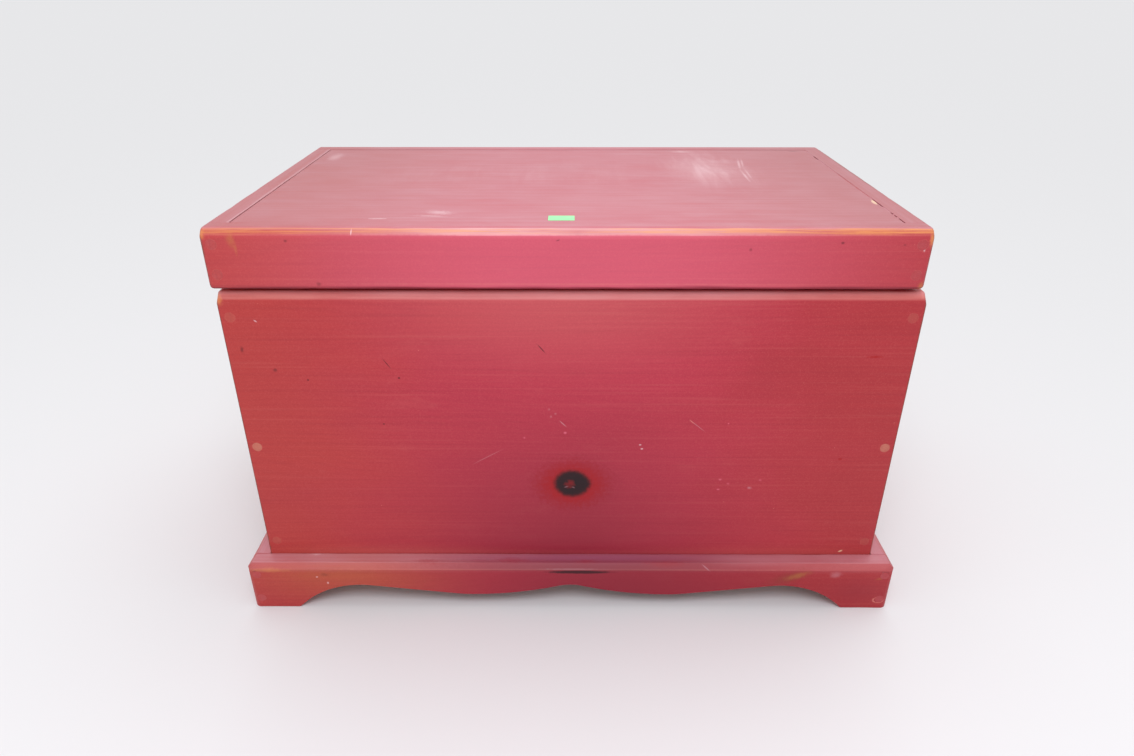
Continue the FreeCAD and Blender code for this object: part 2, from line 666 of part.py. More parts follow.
# ---------------------------------------------------------------- the lid
def make_lid():
    """The lid's rim, screwed through the front and back rails into the end rails."""
    low, top = place("lid_base"), place("lid_top")
    left_x, right_x = place("lid_left"), place("lid_right")
    near, far = place("lid_front"), place("lid_back")
    rim_left, rim_right = place("rim_left"), place("rim_right")
    rim_front, rim_back = place("rim_front"), place("rim_back")
    half, inset = f"{size('lid_thickness')} / 2", size("lid_screw_inset")
    screws = corner_screws("lid", (f"{left_x} + {half}", f"{right_x} - {half}"),
                           (f"{low} + {inset}", f"{top} - {inset}"), near, far)

    front = board("lid_front", (left_x, near, low), (right_x, rim_front, top))
    ease(front, "Chamfer", size("edge_chamfer"), "front top")
    ease(front, "Fillet", size("lid_round"), "left !back", "right !back", "front bottom")
    back = board("lid_back", (left_x, rim_back, low), (right_x, far, top))
    ease(back, "Fillet", size("lid_round"), "left !front", "right !front", "back top")
    left = board("lid_left", (left_x, rim_front, low), (rim_left, rim_back, top))
    ease(left, "Fillet", size("lid_round"), "left top", "left bottom")
    right = board("lid_right", (rim_right, rim_front, low), (right_x, rim_back, top))
    ease(right, "Fillet", size("lid_round"), "right top", "right bottom")

    keep("lid_screws", grouped("lid_screw_group", [pieces[1] for pieces in screws.values()]))
    keep("lid_plugs", grouped("lid_plug_group", [pieces[2] for pieces in screws.values()]))
    return front, back, left, right, screws


def make_lid_panel():
    """The top panel, flush inside the rim, on four strips screwed to the rails."""
    rim_left, rim_right = place("rim_left"), place("rim_right")
    rim_front, rim_back = place("rim_front"), place("rim_back")
    seam, strip = size("lid_panel_seam"), size("cleat_width")
    low, high = place("lid_cleat_base"), place("panel_base")
    keep("lid_top_panel", board(
        "lid_panel", (f"{rim_left} + {seam}", rim_front, high),
        (f"{rim_right} - {seam}", f"{rim_back} - {seam}", place("lid_top"))))

    inner_front, inner_back = f"({rim_front} + {strip})", f"({rim_back} - {strip})"
    inner_left, inner_right = f"({rim_left} + {strip})", f"({rim_right} - {strip})"
    spans = {
        "front": ((rim_left, rim_front, low), (rim_right, inner_front, high)),
        "back": ((rim_left, inner_back, low), (rim_right, rim_back, high)),
        "left": ((rim_left, inner_front, low), (inner_left, inner_back, high)),
        "right": ((inner_right, inner_front, low), (rim_right, inner_back, high)),
    }
    middle, inset = f"{low} + {strip} / 2", size("cleat_screw_inset")
    across = [f"{rim_left} + {inset}", size("lid_shift"), f"{rim_right} - {inset}"]
    along = [f"{rim_front} + {inset}", f"{rim_back} - {inset}"]
    starts = {
        "front": [((x, inner_front, middle), "-Y") for x in across],
        "back": [((x, inner_back, middle), "+Y") for x in across],
        "left": [((inner_left, y, middle), "-X") for y in along],
        "right": [((inner_right, y, middle), "+X") for y in along],
    }
    holes, screws = strip_screws("lid_strip", starts)
    for side, (corner, opposite) in spans.items():
        strip_box = box(f"lid_{side}_strip", corner, opposite)
        keep(f"lid_{side}_cleat", cut(f"lid_{side}_cleat_cut", strip_box, holes[side]))
    keep("lid_cleat_screws", grouped("lid_cleat_screw_group", screws))
    return holes


def make_bumpers():
    """Felt pads on the front board's top edge, which the closed lid comes down on."""
    across = f"({place('half_width')} - {size('bumper_inset')})"
    flat = f"({size('board_thickness')} - {size('edge_chamfer')})"
    y = f"{minus(place('half_depth'))} + {size('edge_chamfer')} + {flat} / 2"
    height = f"{size('lid_gap')} - {size('bumper_clearance')}"
    radius = size("bumper_radius")
    pads = [turned(f"{side}_bumper", (x, y, place("body_top")), "+Z", [(radius, radius, height)])
            for side, x in (("left", minus(across)), ("right", across))]
    keep("lid_bumpers", grouped("bumper_group", pads))


# ---------------------------------------------------------------- the hinges
def knuckle_start(centre, number):
    """Where a knuckle of a hinge starts along X."""
    play = size("hinge_knuckle_play")
    return f"{centre} - {size('hinge_length')} / 2 + {number} * {place('knuckle_pitch')} + {play} / 2"


def hinge_leaf(name, centre, numbers, low, screws):
    """A leaf on its board, with its knuckles on the barrel's axis."""
    width, thick = size("hinge_leaf_width"), size("hinge_leaf_thickness")
    half, deep = f"{size('hinge_length')} / 2", place("half_depth")
    high = f"{low} + {thick}"
    radius, axis_y, axis_z = size("hinge_barrel_radius"), place("hinge_y"), place("hinge_z")
    length = f"{place('knuckle_pitch')} - {size('hinge_knuckle_play')}"
    pieces = [box(f"{name}_plate", (f"{centre} - {half}", f"{deep} - {width}", low),
                  (f"{centre} + {half}", deep, high))]
    for number in numbers:
        start = knuckle_start(centre, number)
        pieces.append(box(f"{name}_web_{number}", (start, f"{deep} - {width} / 2", low),
                          (f"{start} + {length}", axis_y, high)))
        pieces.append(turned(f"{name}_knuckle_{number}", (start, axis_y, axis_z), "+X",
                             [(radius, radius, length)]))
    bore = f"{size('hinge_pin_radius')} + {size('hinge_pin_play')}"
    tunnel = turned(f"{name}_bore", (f"{centre} - {half}", axis_y, axis_z), "+X",
                    [(bore, bore, size("hinge_length"))])
    return cut(f"{name}_cut", fused(f"{name}_solid", pieces), [tunnel] + screws)


def make_hinges():
    """Two butt hinges between the back board and the lid's back rail: the leaves fill the gap."""
    thick, half = size("hinge_leaf_thickness"), f"{size('hinge_length')} / 2"
    y = f"{place('half_depth')} - {size('hinge_leaf_width')} / 2"
    face_low = f"{place('body_top')} + {thick}"
    face_high = f"{place('lid_base')} - {thick}"
    reach = f"{half} - {size('hinge_screw_inset')}"
    pin, head = size("hinge_pin_radius"), size("hinge_pin_head_radius")
    holes = {"body": [], "lid": []}
    screws = {"body": [], "lid": []}
    for side, centre in (("left", minus(place("hinge_x"))), ("right", place("hinge_x"))):
        pairs = {"body": [], "lid": []}
        for number, offset in enumerate((minus(reach), "0", reach), start=1):
            x = f"{centre} + {offset}"
            for owner, face, along in (("body", face_low, "-Z"), ("lid", face_high, "+Z")):
                pairs[owner].append(flat_screw(f"hinge_{side}_{owner}_{number}", (x, y, face),
                                               along, size("flat_length")))
        for owner, low, numbers in (("body", place("body_top"), range(0, KNUCKLES, 2)),
                                    ("lid", face_high, range(1, KNUCKLES, 2))):
            own_holes = [pair[0] for pair in pairs[owner]]
            keep(f"{side}_hinge_{owner}_leaf",
                 hinge_leaf(f"{side}_{owner}_leaf", centre, numbers, low, own_holes))
            holes[owner] += own_holes
            screws[owner] += [pair[1] for pair in pairs[owner]]
        start = f"{centre} - {half} - {size('hinge_pin_head')}"
        keep(f"{side}_hinge_pin", turned(
            f"{side}_pin", (start, place("hinge_y"), place("hinge_z")), "+X",
            [(head, head, size("hinge_pin_head")), (pin, pin, size("hinge_length")),
             (head, head, size("hinge_pin_head"))]))
    keep("hinge_body_screws", grouped("hinge_body_screw_group", screws["body"]))
    keep("hinge_lid_screws", grouped("hinge_lid_screw_group", screws["lid"]))
    return holes


# ---------------------------------------------------------------- the stays
def stay_bracket(name, wall, side, plane, y, z):
    """A round plate on a wall with a boss and a headed stud that carries the arm."""
    along = "+X" if side == "left" else "-X"
    gap = size("stay_side_play")
    start = minus(wall) if side == "left" else wall
    plate, stud = size("stay_plate_radius"), size("stay_stud_radius")
    boss, head = size("stay_boss_radius"), size("stay_head_radius")
    bracket = turned(name, (start, y, z), along, [
        (plate, plate, size("stay_plate_thickness")),
        (boss, boss, f"({wall}) - {plane} - {size('stay_plate_thickness')} - {gap}"),
        (stud, stud, f"{size('stay_thickness')} + 2 * {gap}"),
        (head, head, size("stay_head_height")),
    ])
    face = moved((start, y, z), along, size("stay_plate_thickness"))
    into = "-X" if side == "left" else "+X"
    pairs = []
    for number, sign in enumerate("+-", start=1):
        at = (face[0], f"{y} {sign} {size('stay_screw_offset')}", face[2])
        pairs.append(flat_screw(f"{name}_{number}", at, into, size("flat_length")))
    holes = [pair[0] for pair in pairs]
    return cut(f"{name}_cut", bracket, holes), holes, [pair[1] for pair in pairs]


def slot(sketch, far, near, radius):
    """Draw a slot down the sketch's Y axis, with round ends at two distances from the origin."""
    r, start, end = value(radius), -value(near), -value(far)
    upper = arc(sketch, (0, start), (r, start), (-r, start))
    lower = arc(sketch, (0, end), (-r, end), (r, end))
    left = line(sketch, (-r, start), (-r, end))
    right = line(sketch, (r, end), (r, start))
    constrain(sketch, "Tangent", (upper, END, left, START), (left, END, lower, START),
              (lower, END, right, START), (right, END, upper, START))
    constrain(sketch, "Equal", (upper, lower))
    constrain(sketch, "PointOnObject", (upper, CENTRE, Y_AXIS), (lower, CENTRE, Y_AXIS))
    measure(sketch, "Radius", upper, expression=radius)
    if near == "0":
        constrain(sketch, "PointOnObject", (upper, CENTRE, X_AXIS))
    else:
        measure(sketch, "DistanceY", upper, CENTRE, ORIGIN, START, expression=near)
    measure(sketch, "DistanceY", lower, CENTRE, ORIGIN, START, expression=far)


def stay_arm(name, x):
    """A slotted arm, from its pivot on the lid past the stud on the box."""
    body = doc.addObject("PartDesign::Body", f"{name}_arm")
    sketch = sketch_on(body, "YZ_Plane")
    play, stud = size("stay_slot_play"), size("stay_stud_radius")
    far = f"{place('stay_open')} + {play}"
    slot(sketch, far, "0", f"{size('stay_width')} / 2")
    slot(sketch, far, f"{place('stay_closed')} - {play}", f"{stud} + {play}")
    pivot = sketch.addGeometry(Part.Circle(
        FreeCAD.Vector(0, 0, 0), FreeCAD.Vector(0, 0, 1), value(stud)), False)
    constrain(sketch, "Coincident", (pivot, CENTRE, ORIGIN, START))
    measure(sketch, "Radius", pivot, expression=f"{stud} + {size('stay_pivot_play')}")
    pad(body, sketch, size("stay_thickness"))
    # The closed arm leans from its pivot back to the stud. Any angle sets the axis it turns on.
    body.Placement.Rotation = FreeCAD.Rotation(FreeCAD.Vector(1, 0, 0), value(size("lid_opening")))
    body.setExpression("Placement.Rotation.Angle",
                       f"atan2({place('stay_lean')}; {place('stay_fall')})")
    put(body, (x, place("pivot_y"), place("pivot_z")))
    return body


def make_stays():
    """Two slotted stays, one inside each end."""
    holes, screws = {}, {"body": [], "lid": []}
    for side in ("left", "right"):
        plane = place(f"{side}_plane")
        rim = minus(place("rim_left")) if side == "left" else place("rim_right")
        walls = {"body": (place("inner_x"), place("stud_y"), place("stud_z")),
                 "lid": (rim, place("pivot_y"), place("pivot_z"))}
        for owner, (wall, y, z) in walls.items():
            bracket, own_holes, own_screws = stay_bracket(
                f"{side}_stay_{owner}", wall, side, plane, y, z)
            keep(f"{side}_stay_{owner}_bracket", bracket)
            holes[side, owner] = own_holes
            screws[owner] += own_screws
        x = minus(plane) if side == "left" else f"{plane} - {size('stay_thickness')}"
        keep(f"{side}_stay_arm", stay_arm(f"{side}_stay", x))
    keep("stay_body_screws", grouped("stay_body_screw_group", screws["body"]))
    keep("stay_lid_screws", grouped("stay_lid_screw_group", screws["lid"]))
    return holes


# ---------------------------------------------------------------- the whole chest
def make_chest():
    """Make every sub-part; each board is cut for all the screws that reach into it."""
    front, back, left, right, screws = make_box()
    strips = make_bottom()
    make_plinth()
    make_foot_blocks()
    lid_front, lid_back, lid_left, lid_right, lid_screws = make_lid()
    lid_strips = make_lid_panel()
    make_bumpers()
    hinges = make_hinges()
    stays = make_stays()

    cuts = {
        "front_panel": (front, holes_of(screws, "front") + strips["front"]),
        "back_panel": (back, holes_of(screws, "back") + strips["back"] + hinges["body"]),
        "left_end_panel": (left, holes_of(screws, None, 1) + strips["left"] + stays["left", "body"]),
        "right_end_panel": (
            right, holes_of(screws, None, 2) + strips["right"] + stays["right", "body"]),
        "lid_front_rail": (lid_front, holes_of(lid_screws, "front") + lid_strips["front"]),
        "lid_back_rail": (
            lid_back, holes_of(lid_screws, "back") + lid_strips["back"] + hinges["lid"]),
        "lid_left_rail": (
            lid_left, holes_of(lid_screws, None, 1) + lid_strips["left"] + stays["left", "lid"]),
        "lid_right_rail": (
            lid_right, holes_of(lid_screws, None, 2) + lid_strips["right"] + stays["right", "lid"]),
    }
    for label, (base, holes) in cuts.items():
        keep(label, cut(f"{label}_cut", base, holes))


def check_and_write():
    """Check every object and sub-part, then write one STEP file for each sub-part."""
    doc.recompute()
    failed = [thing.Name for thing in doc.Objects if {"Invalid", "Error"} & set(thing.State)]
    if failed:
        raise RuntimeError("objects that failed: " + ", ".join(failed))
    for label, thing in sub_parts.items():
        if thing.Shape.isNull() or not thing.Shape.isValid() or not thing.Shape.Solids:
            raise RuntimeError(f"{label} is not a valid solid")
    os.makedirs("parts", exist_ok=True)
    for label, thing in sub_parts.items():
        thing.Shape.exportStep(f"parts/{label}.step")
    print(len(sub_parts), "sub-parts written")


fill_sheets()
make_chest()
check_and_write()
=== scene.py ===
"""Blanket chest: its finished pieces, their materials, the floor, the lights and the camera."""

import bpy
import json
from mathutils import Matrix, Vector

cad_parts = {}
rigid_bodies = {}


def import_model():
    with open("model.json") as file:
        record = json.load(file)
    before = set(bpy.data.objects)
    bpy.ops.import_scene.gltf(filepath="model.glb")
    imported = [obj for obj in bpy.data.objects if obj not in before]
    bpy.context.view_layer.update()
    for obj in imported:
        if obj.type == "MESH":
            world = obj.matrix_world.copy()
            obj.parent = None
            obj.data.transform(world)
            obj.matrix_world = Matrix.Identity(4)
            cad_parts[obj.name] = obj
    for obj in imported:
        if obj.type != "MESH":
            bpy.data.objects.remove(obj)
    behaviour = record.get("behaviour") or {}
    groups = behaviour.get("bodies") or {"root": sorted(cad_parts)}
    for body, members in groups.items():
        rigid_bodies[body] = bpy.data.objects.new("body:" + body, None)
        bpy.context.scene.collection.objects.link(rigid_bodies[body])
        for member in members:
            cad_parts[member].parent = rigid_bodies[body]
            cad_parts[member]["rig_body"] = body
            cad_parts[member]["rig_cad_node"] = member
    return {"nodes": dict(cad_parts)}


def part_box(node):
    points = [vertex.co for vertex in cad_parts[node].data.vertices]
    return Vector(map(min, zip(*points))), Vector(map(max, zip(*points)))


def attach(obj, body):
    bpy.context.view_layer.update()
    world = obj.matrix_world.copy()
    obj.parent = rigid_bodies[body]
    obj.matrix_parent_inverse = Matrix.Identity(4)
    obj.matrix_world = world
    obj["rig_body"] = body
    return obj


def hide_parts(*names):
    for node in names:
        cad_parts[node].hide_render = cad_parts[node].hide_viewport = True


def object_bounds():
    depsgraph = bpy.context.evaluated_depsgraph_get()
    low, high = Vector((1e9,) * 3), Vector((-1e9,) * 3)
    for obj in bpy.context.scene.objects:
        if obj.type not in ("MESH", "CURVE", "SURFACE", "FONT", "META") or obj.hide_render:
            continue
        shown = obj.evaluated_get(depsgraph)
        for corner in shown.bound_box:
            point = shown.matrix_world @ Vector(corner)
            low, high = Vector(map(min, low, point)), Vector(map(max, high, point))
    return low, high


bl_info = {
    "name": "Blanket Chest",
    "version": (1, 0, 0),
    "blender": (4, 5, 0),
    "location": "3D View > Sidebar > Chest",
    "description": "Finishes a pine blanket chest in worn red paint, with its plugs, seams and fittings",
    "category": "Object",
}

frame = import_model()

import json
import math
import random
from typing import NamedTuple

import bmesh
import bpy
from mathutils import Vector, noise

MM = 0.001
CAD_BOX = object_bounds()
ALMOST = 0.05 * MM          # how close a point lies to a side that it is on
FAR = 1000.0                # a size, a depth or a height without an end
WEAR_PITCH = 18 * MM        # about how far apart a worn arris changes its depth
WEAR_REACH = 10 * MM        # how far from an arris the wear reaches
COARSE_WEAR, FINE_WEAR = 23, 90         # how often in a metre the depth of the wear swings
RING_TURN = 2 * math.pi / (8.5 * MM)    # the angle that a board's growth rings turn through in a metre
GLUED_WIDTH = 131 * MM      # the width of the boards that a wide panel is glued up from
SHORTEST = 1.5 * MM         # an edge shorter than this is left sharp


def screen(red, green, blue):
    """A colour as it shows on a screen, from 0 to 255, in the values that light adds up in."""
    parts = [part / 255 for part in (red, green, blue)]
    return tuple(part / 12.92 if part <= 0.04045 else ((part + 0.055) / 1.055) ** 2.4
                 for part in parts)


# ---------------------------------------------------------------- what a user may change
def colour(name, description, red, green, blue):
    """A colour property with its default as it shows on a screen."""
    return bpy.props.FloatVectorProperty(
        name=name, description=description, subtype="COLOR", size=3, min=0, max=1,
        default=screen(red, green, blue))


def quantity(name, description, default, **settings):
    """A property that holds a number."""
    return bpy.props.FloatProperty(name=name, description=description, default=default, **settings)


def length(name, description, millimetres, least=0):
    """A length property with its default in millimetres."""
    return quantity(name, description, millimetres * MM, min=least, unit="LENGTH", subtype="DISTANCE")


class ChestColours(bpy.types.PropertyGroup):
    """Colours of the chest's finishes"""

    # From the ends to the middle the paint turns from orange to crimson: painted light, for warmer light at
    # the ends and cooler light in the middle.
    paint_left: colour("Paint, left", "Red paint towards the left end, leaning to orange", 178, 56, 54)
    paint_middle: colour("Paint, middle", "Red paint in the middle, leaning to crimson", 182, 50, 70)
    paint_right: colour("Paint, right", "Red paint towards the right end", 170, 46, 52)
    # Deep paint also stands in as painted shade over the lower middle of the box's front, of the plinth and
    # of its ledge.
    deep: colour("Deep paint", "Paint where it is thick and dirty", 122, 26, 44)
    grime: colour("Grime", "Dirt in dents, cracks and scratches", 66, 18, 26)
    olive: colour("Olive", "Old brown stain that shows along the ends", 118, 62, 42)
    # Besides dust, this colour is the painted sheen on faces that look up and painted light on the box's
    # chamfers.
    chalk_and_painted_light: colour("Chalk", "Chalky bloom on the faces that look up", 198, 136, 146)
    # The white is also a painted highlight along the middle of the lid's front chamfer.
    scuff_and_highlight: colour("Scuff", "White scuffs", 238, 208, 214)
    worn_wood: colour("Worn wood", "Wood that shows where the paint is rubbed off", 226, 150, 84)
    # Thin paint, and also painted light along the middle and the foot of the box's front and on the lid's
    # chamfer.
    worn_paint_and_painted_light: colour("Worn paint", "Paint rubbed thin beside the bare wood", 222, 134, 122)
    bright: colour("Bright red", "Fresh saturated red", 162, 16, 22)
    # This rose is also a painted highlight over the middle of the lid's front.
    rosy_and_highlight: colour("Faded red", "Paint that the light has faded to rose", 236, 118, 142)
    # The bluish colour is a painted sheen.
    lilac_sheen: colour("Lilac", "Bluish bloom along the middle of the plinth", 176, 124, 172)
    chip: colour("Chip", "Raw wood in a chip", 238, 206, 170)
    stain: colour("Drip", "Yellow drips and stains", 188, 132, 60)
    knot: colour("Knot", "The dark wood of the knot", 34, 14, 20)
    pine_light: colour("Pine, early wood", "Light bands of the bare pine inside", 222, 184, 132)
    pine_dark: colour("Pine, late wood", "Dark bands of the bare pine inside", 178, 126, 74)
    plug: colour("Plug", "End grain of the wooden plugs where the paint is rubbed off", 208, 156, 128)
    brass: colour("Brass plate", "Plating of the hinges and the stays", 206, 170, 104)
    steel: colour("Screw steel", "Plating of the small screws", 196, 188, 172)
    felt: colour("Felt", "Felt pads under the lid", 66, 58, 52)
    tab: colour("Tab", "Blank paper tab on the lid", 156, 238, 168)


class ChestSizes(bpy.types.PropertyGroup):
    """Sizes of what is finished on the chest's pieces"""

    body_chamfer: length("Box chamfer", "Chamfer along the top of the box's and the lid's front", 8.5)
    body_round: length("Box rounding", "Rounding along the top of the box's ends", 6.5)
    skirt_chamfer: length("Plinth chamfer", "Chamfer along the top of the plinth", 7.5)
    arris: length("Arris", "Rounding of the outer arrises", 2.5)
    lid_arris: length("Lid arris", "Rounding of the lid's outer arrises", 5)
    skirt_arris: length("Plinth arris", "Rounding of the plinth's arrises", 1.2)
    skirt_corner: length("Plinth corner", "Rounding of the plinth's upright corners", 10)
    joint_arris: length("Joint arris", "Rounding of the arrises where two boards meet", 0.4)
    wood_arris: length("Inner arris", "Rounding of the unpainted pieces", 0.8)
    metal_arris: length("Metal arris", "Rounding of the metal pieces", 0.25)
    wear_depth: length("Wear", "How deep the arrises are rubbed away", 0.6)
    bore_radius: length("Bore radius", "Radius of the holes that the plugs close", 6.4)
    panel_drop: length("Panel drop", "How far the lid's top panel lies below its rim", 0.25)
    pad_round: length("Pad rounding", "Rounding of the felt pads", 1.2)
    plug_arris: length("Plug arris", "Rounding of the wooden plugs", 0.1)
    slot_width: length("Screw slot", "Width of the slots in the screw heads", 1)
    slot_depth: length("Slot depth", "Depth of the slots in the screw heads", 0.8)
    tab_length: length("Tab length", "Length of the paper tab", 32)
    tab_width: length("Tab width", "Width of the paper tab", 21)
    tab_thickness: length("Tab thickness", "Thickness of the paper tab", 0.15)


class ChestStage(bpy.types.PropertyGroup):
    """The floor, the lights and the camera"""

    floor: colour("Floor", "Colour of the floor", 226, 226, 228)
    floor_size: length("Floor size", "Side of the floor", 80000)
    room: quantity("Room light", "Strength of the light from all round", 0.8, min=0)
    key: quantity("Key light", "Power of the lamp over the camera", 14, min=0, unit="POWER")
    top: quantity("Top light", "Strength of the soft light from above and behind", 0.9, min=0)
    lens: quantity("Lens", "Focal length on a 36 mm frame, in millimetres", 24.76, min=1)
    eye_height: length("Eye height", "Height of the camera over the floor", 818.2)
    eye_distance: length("Eye distance", "From the chest's middle to the camera", 1139.7)
    eye_side: length("Eye side", "How far right of the middle the camera is", -2.1, least=-10)
    pitch: quantity("Pitch", "How far the camera looks down", 0.4729, unit="ROTATION", subtype="ANGLE")
    turn: quantity("Turn", "How far the camera turns left", 0.0032, unit="ROTATION", subtype="ANGLE")


class Mark(NamedTuple):
    """An elliptical mark on a face, in millimetres"""

    shade: str              # which of the colours
    place: tuple            # its centre: along X, and up or, on a face that lies flat, along Y
    reach: tuple            # half its length and half its width
    strength: float = 1
    rough: float = 0.8      # how ragged its outline is
    soft: float = 1         # the share of its size over which it fades out
    turn: float = 0         # degrees from X, counter-clockwise as its face is looked at
    ring: float = 0         # half the thickness of the line, where only its outline shows


# ---------------------------------------------------------------- shader maths
class Socket:
    """A shader's socket. Python's arithmetic on it adds Math nodes."""

    def __init__(self, shader, link):
        self.shader = shader
        self.link = link

    def __add__(self, other):
        return self.shader.maths("ADD", self, other)

    def __sub__(self, other):
        return self.shader.maths("SUBTRACT", self, other)

    def __rsub__(self, other):
        return self.shader.maths("SUBTRACT", other, self)

    def __mul__(self, other):
        return self.shader.maths("MULTIPLY", self, other)

    def __truediv__(self, other):
        return self.shader.maths("DIVIDE", self, other)

    def __abs__(self):
        return self.shader.maths("ABSOLUTE", self)

    __radd__ = __add__
    __rmul__ = __mul__


class Shader:
    """A material, and the nodes that it is built from."""

    def __init__(self, name):
        self.material = bpy.data.materials.new(name)
        self.material.use_nodes = True
        self.tree = self.material.node_tree
        self.tree.nodes.clear()
        self.place = self.node("TexCoord", output="Object")
        self.x = self.node("SeparateXYZ", inputs={"Vector": self.place}, output="X")
        self.y = Socket(self, self.x.link.node.outputs["Y"])
        self.z = Socket(self, self.x.link.node.outputs["Z"])

    def node(self, kind, settings=None, inputs=None, output=0):
        """Add a node: first its settings, then the values or links of its sockets."""
        made = self.tree.nodes.new("ShaderNode" + kind)
        for name, setting in (settings or {}).items():
            setattr(made, name, setting)
        for name, given in (inputs or {}).items():
            if isinstance(given, Socket):
                self.tree.links.new(given.link, made.inputs[name])
            else:
                made.inputs[name].default_value = given
        return Socket(self, made.outputs[output]) if made.outputs else None

    def maths(self, operation, *values):
        """A Math node on numbers."""
        return self.node("Math", {"operation": operation}, dict(enumerate(values)))

    def blend(self, share, first, second, mode="MIX"):
        """Two colours mixed."""
        pair = [shade if isinstance(shade, Socket) else (*shade, 1) for shade in (first, second)]
        return self.node("Mix", {"data_type": "RGBA", "blend_type": mode},
                         {0: share, 6: pair[0], 7: pair[1]}, output=2)

    def step(self, value, start, end):
        """0 up to the start and 1 from the end on, smooth between them; start may be the larger."""
        return self.node("MapRange", {"interpolation_type": "SMOOTHSTEP"},
                         {"Value": value, "From Min": start, "From Max": end})

    def mapped(self, scale=(1, 1, 1), shift=(0, 0, 0)):
        """The place on the piece, scaled and shifted."""
        return self.node("Mapping", inputs={"Vector": self.place, "Location": shift, "Scale": scale})

    def cloud(self, vector, scale=1.0, detail=2.0, roughness=0.5, distortion=0.0):
        """Smooth noise from 0 to 1."""
        return self.node("TexNoise", inputs={
            "Vector": vector, "Scale": scale, "Detail": detail, "Roughness": roughness,
            "Distortion": distortion})

    def reach(self, mark, flat):
        """How far a point lies from a mark's centre, as a share of the mark's outline."""
        along, across = (value * MM for value in mark.place)
        half_length, half_width = (value * MM for value in mark.reach)
        turn = math.radians(mark.turn)
        if flat:
            place, turned, size = (along, across, 0), (0, 0, turn), (half_length, half_width, FAR)
        else:
            place, turned, size = (along, 0, across), (0, -turn, 0), (half_length, FAR, half_width)
        inside = self.node("Mapping", {"vector_type": "TEXTURE"}, {
            "Vector": self.place, "Location": place, "Rotation": turned, "Scale": size})
        return self.node("VectorMath", {"operation": "LENGTH"}, {0: inside}, output="Value")

    def flecks(self, vector, scale, share, radius):
        """Small round flecks in a share of the cells of a scattered pattern."""
        cells = {"Vector": vector, "Scale": scale}
        distance = self.node("TexVoronoi", inputs=cells, output="Distance")
        chance = self.node("SeparateXYZ", inputs={
            "Vector": Socket(self, distance.link.node.outputs["Color"])}, output="X")
        return self.step(distance, radius * scale, radius * scale * 0.4) * self.step(
            chance, 1 - share, 1 - share + 0.02)

    def finish(self, base, roughness, height=None, depth=MM, metallic=0.0, specular=0.5):
        """Close the material. The height is in units of the depth."""
        inputs = {"Base Color": base, "Roughness": roughness, "Metallic": metallic,
                  "Specular IOR Level": specular}
        if height is not None:
            inputs["Normal"] = self.node("Bump", inputs={
                "Height": height, "Distance": depth, "Strength": 1.0})
        surface = self.node("BsdfPrincipled", inputs=inputs)
        self.node("OutputMaterial", inputs={"Surface": surface})
        return self.material


# ---------------------------------------------------------------- finishes
SIDES = {"left": (0, 0), "right": (0, 1), "front": (1, 0), "back": (1, 1), "bottom": (2, 0), "top": (2, 1)}
OPPOSITE = {"left": "right", "right": "left", "front": "back", "back": "front", "top": "bottom"}


def tints():
    """The colours that the panel holds."""
    return bpy.context.scene.chest_colours


def lengthwise(shader, axis, seed, along, across, shift=None, **settings):
    """Noise that is drawn out along a board's length: along and across are its scales."""
    scale = [across] * 3
    scale[axis] = along
    vector = shader.mapped(scale, (seed * 1.7, seed * 0.9, seed * 0.4))
    if shift:
        vector = shader.node("VectorMath", {"operation": "ADD"}, {0: vector, 1: shift})
    return shader.cloud(vector, **settings)


def across_grain(shader, axis):
    """How far across a board's grain a point lies."""
    return sum(place for number, place in enumerate((shader.x, shader.y, shader.z)) if number != axis)


def grain(shader, axis, seed):
    """The figure of glued pine boards: growth rings, fibres and slow clouds, each 0 to 1."""
    across = across_grain(shader, axis)
    board = shader.maths("FLOOR", across / GLUED_WIDTH)
    shift = shader.node("CombineXYZ", inputs={"X": board * 3.7, "Y": board * 5.3, "Z": board * 2.9})
    drift = lengthwise(shader, axis, seed, 0.9, 5, shift, detail=1)
    wobble = lengthwise(shader, axis, seed + 5, 6, 14, shift, detail=2)
    rings = shader.maths("SINE", (across + drift * 0.24 + wobble * 0.014) * RING_TURN) * 0.5 + 0.5
    fibres = lengthwise(shader, axis, seed, 9, 520, detail=3, roughness=0.6)
    clouds = lengthwise(shader, axis, seed, 5, 9, detail=3, roughness=0.55)
    return rings, fibres, clouds


def bare_pine(name, axis, seed):
    """Unpainted pine, yellowed with age, each glued board in a tone of its own."""
    tint, shader = tints(), Shader(name)
    rings, fibres, clouds = grain(shader, axis, seed)
    boards = across_grain(shader, axis) / GLUED_WIDTH
    tone = shader.node("TexWhiteNoise", {"noise_dimensions": "1D"},
                       {"W": shader.maths("FLOOR", boards) + seed}, output="Value")
    joint = shader.step(abs(shader.maths("FRACT", boards) - 0.5), 0.492, 0.499)
    late = shader.step(rings, 0.3, 1.0) * (0.25 + clouds * 0.5)
    wood = shader.blend(late, tint.pine_light, tint.pine_dark)
    wood = shader.blend(tone * 0.3 + joint * 0.4, wood, tint.pine_dark)
    wood = shader.blend(shader.step(fibres, 0.4, 0.75) * 0.25, wood, tint.pine_dark)
    wood = shader.blend(shader.step(clouds, 0.45, 0.8) * 0.3, wood, tint.pine_dark, "MULTIPLY")
    return shader.finish(wood, 0.6 + fibres * 0.14, rings * 0.03 + fibres * 0.12, specular=0.3)


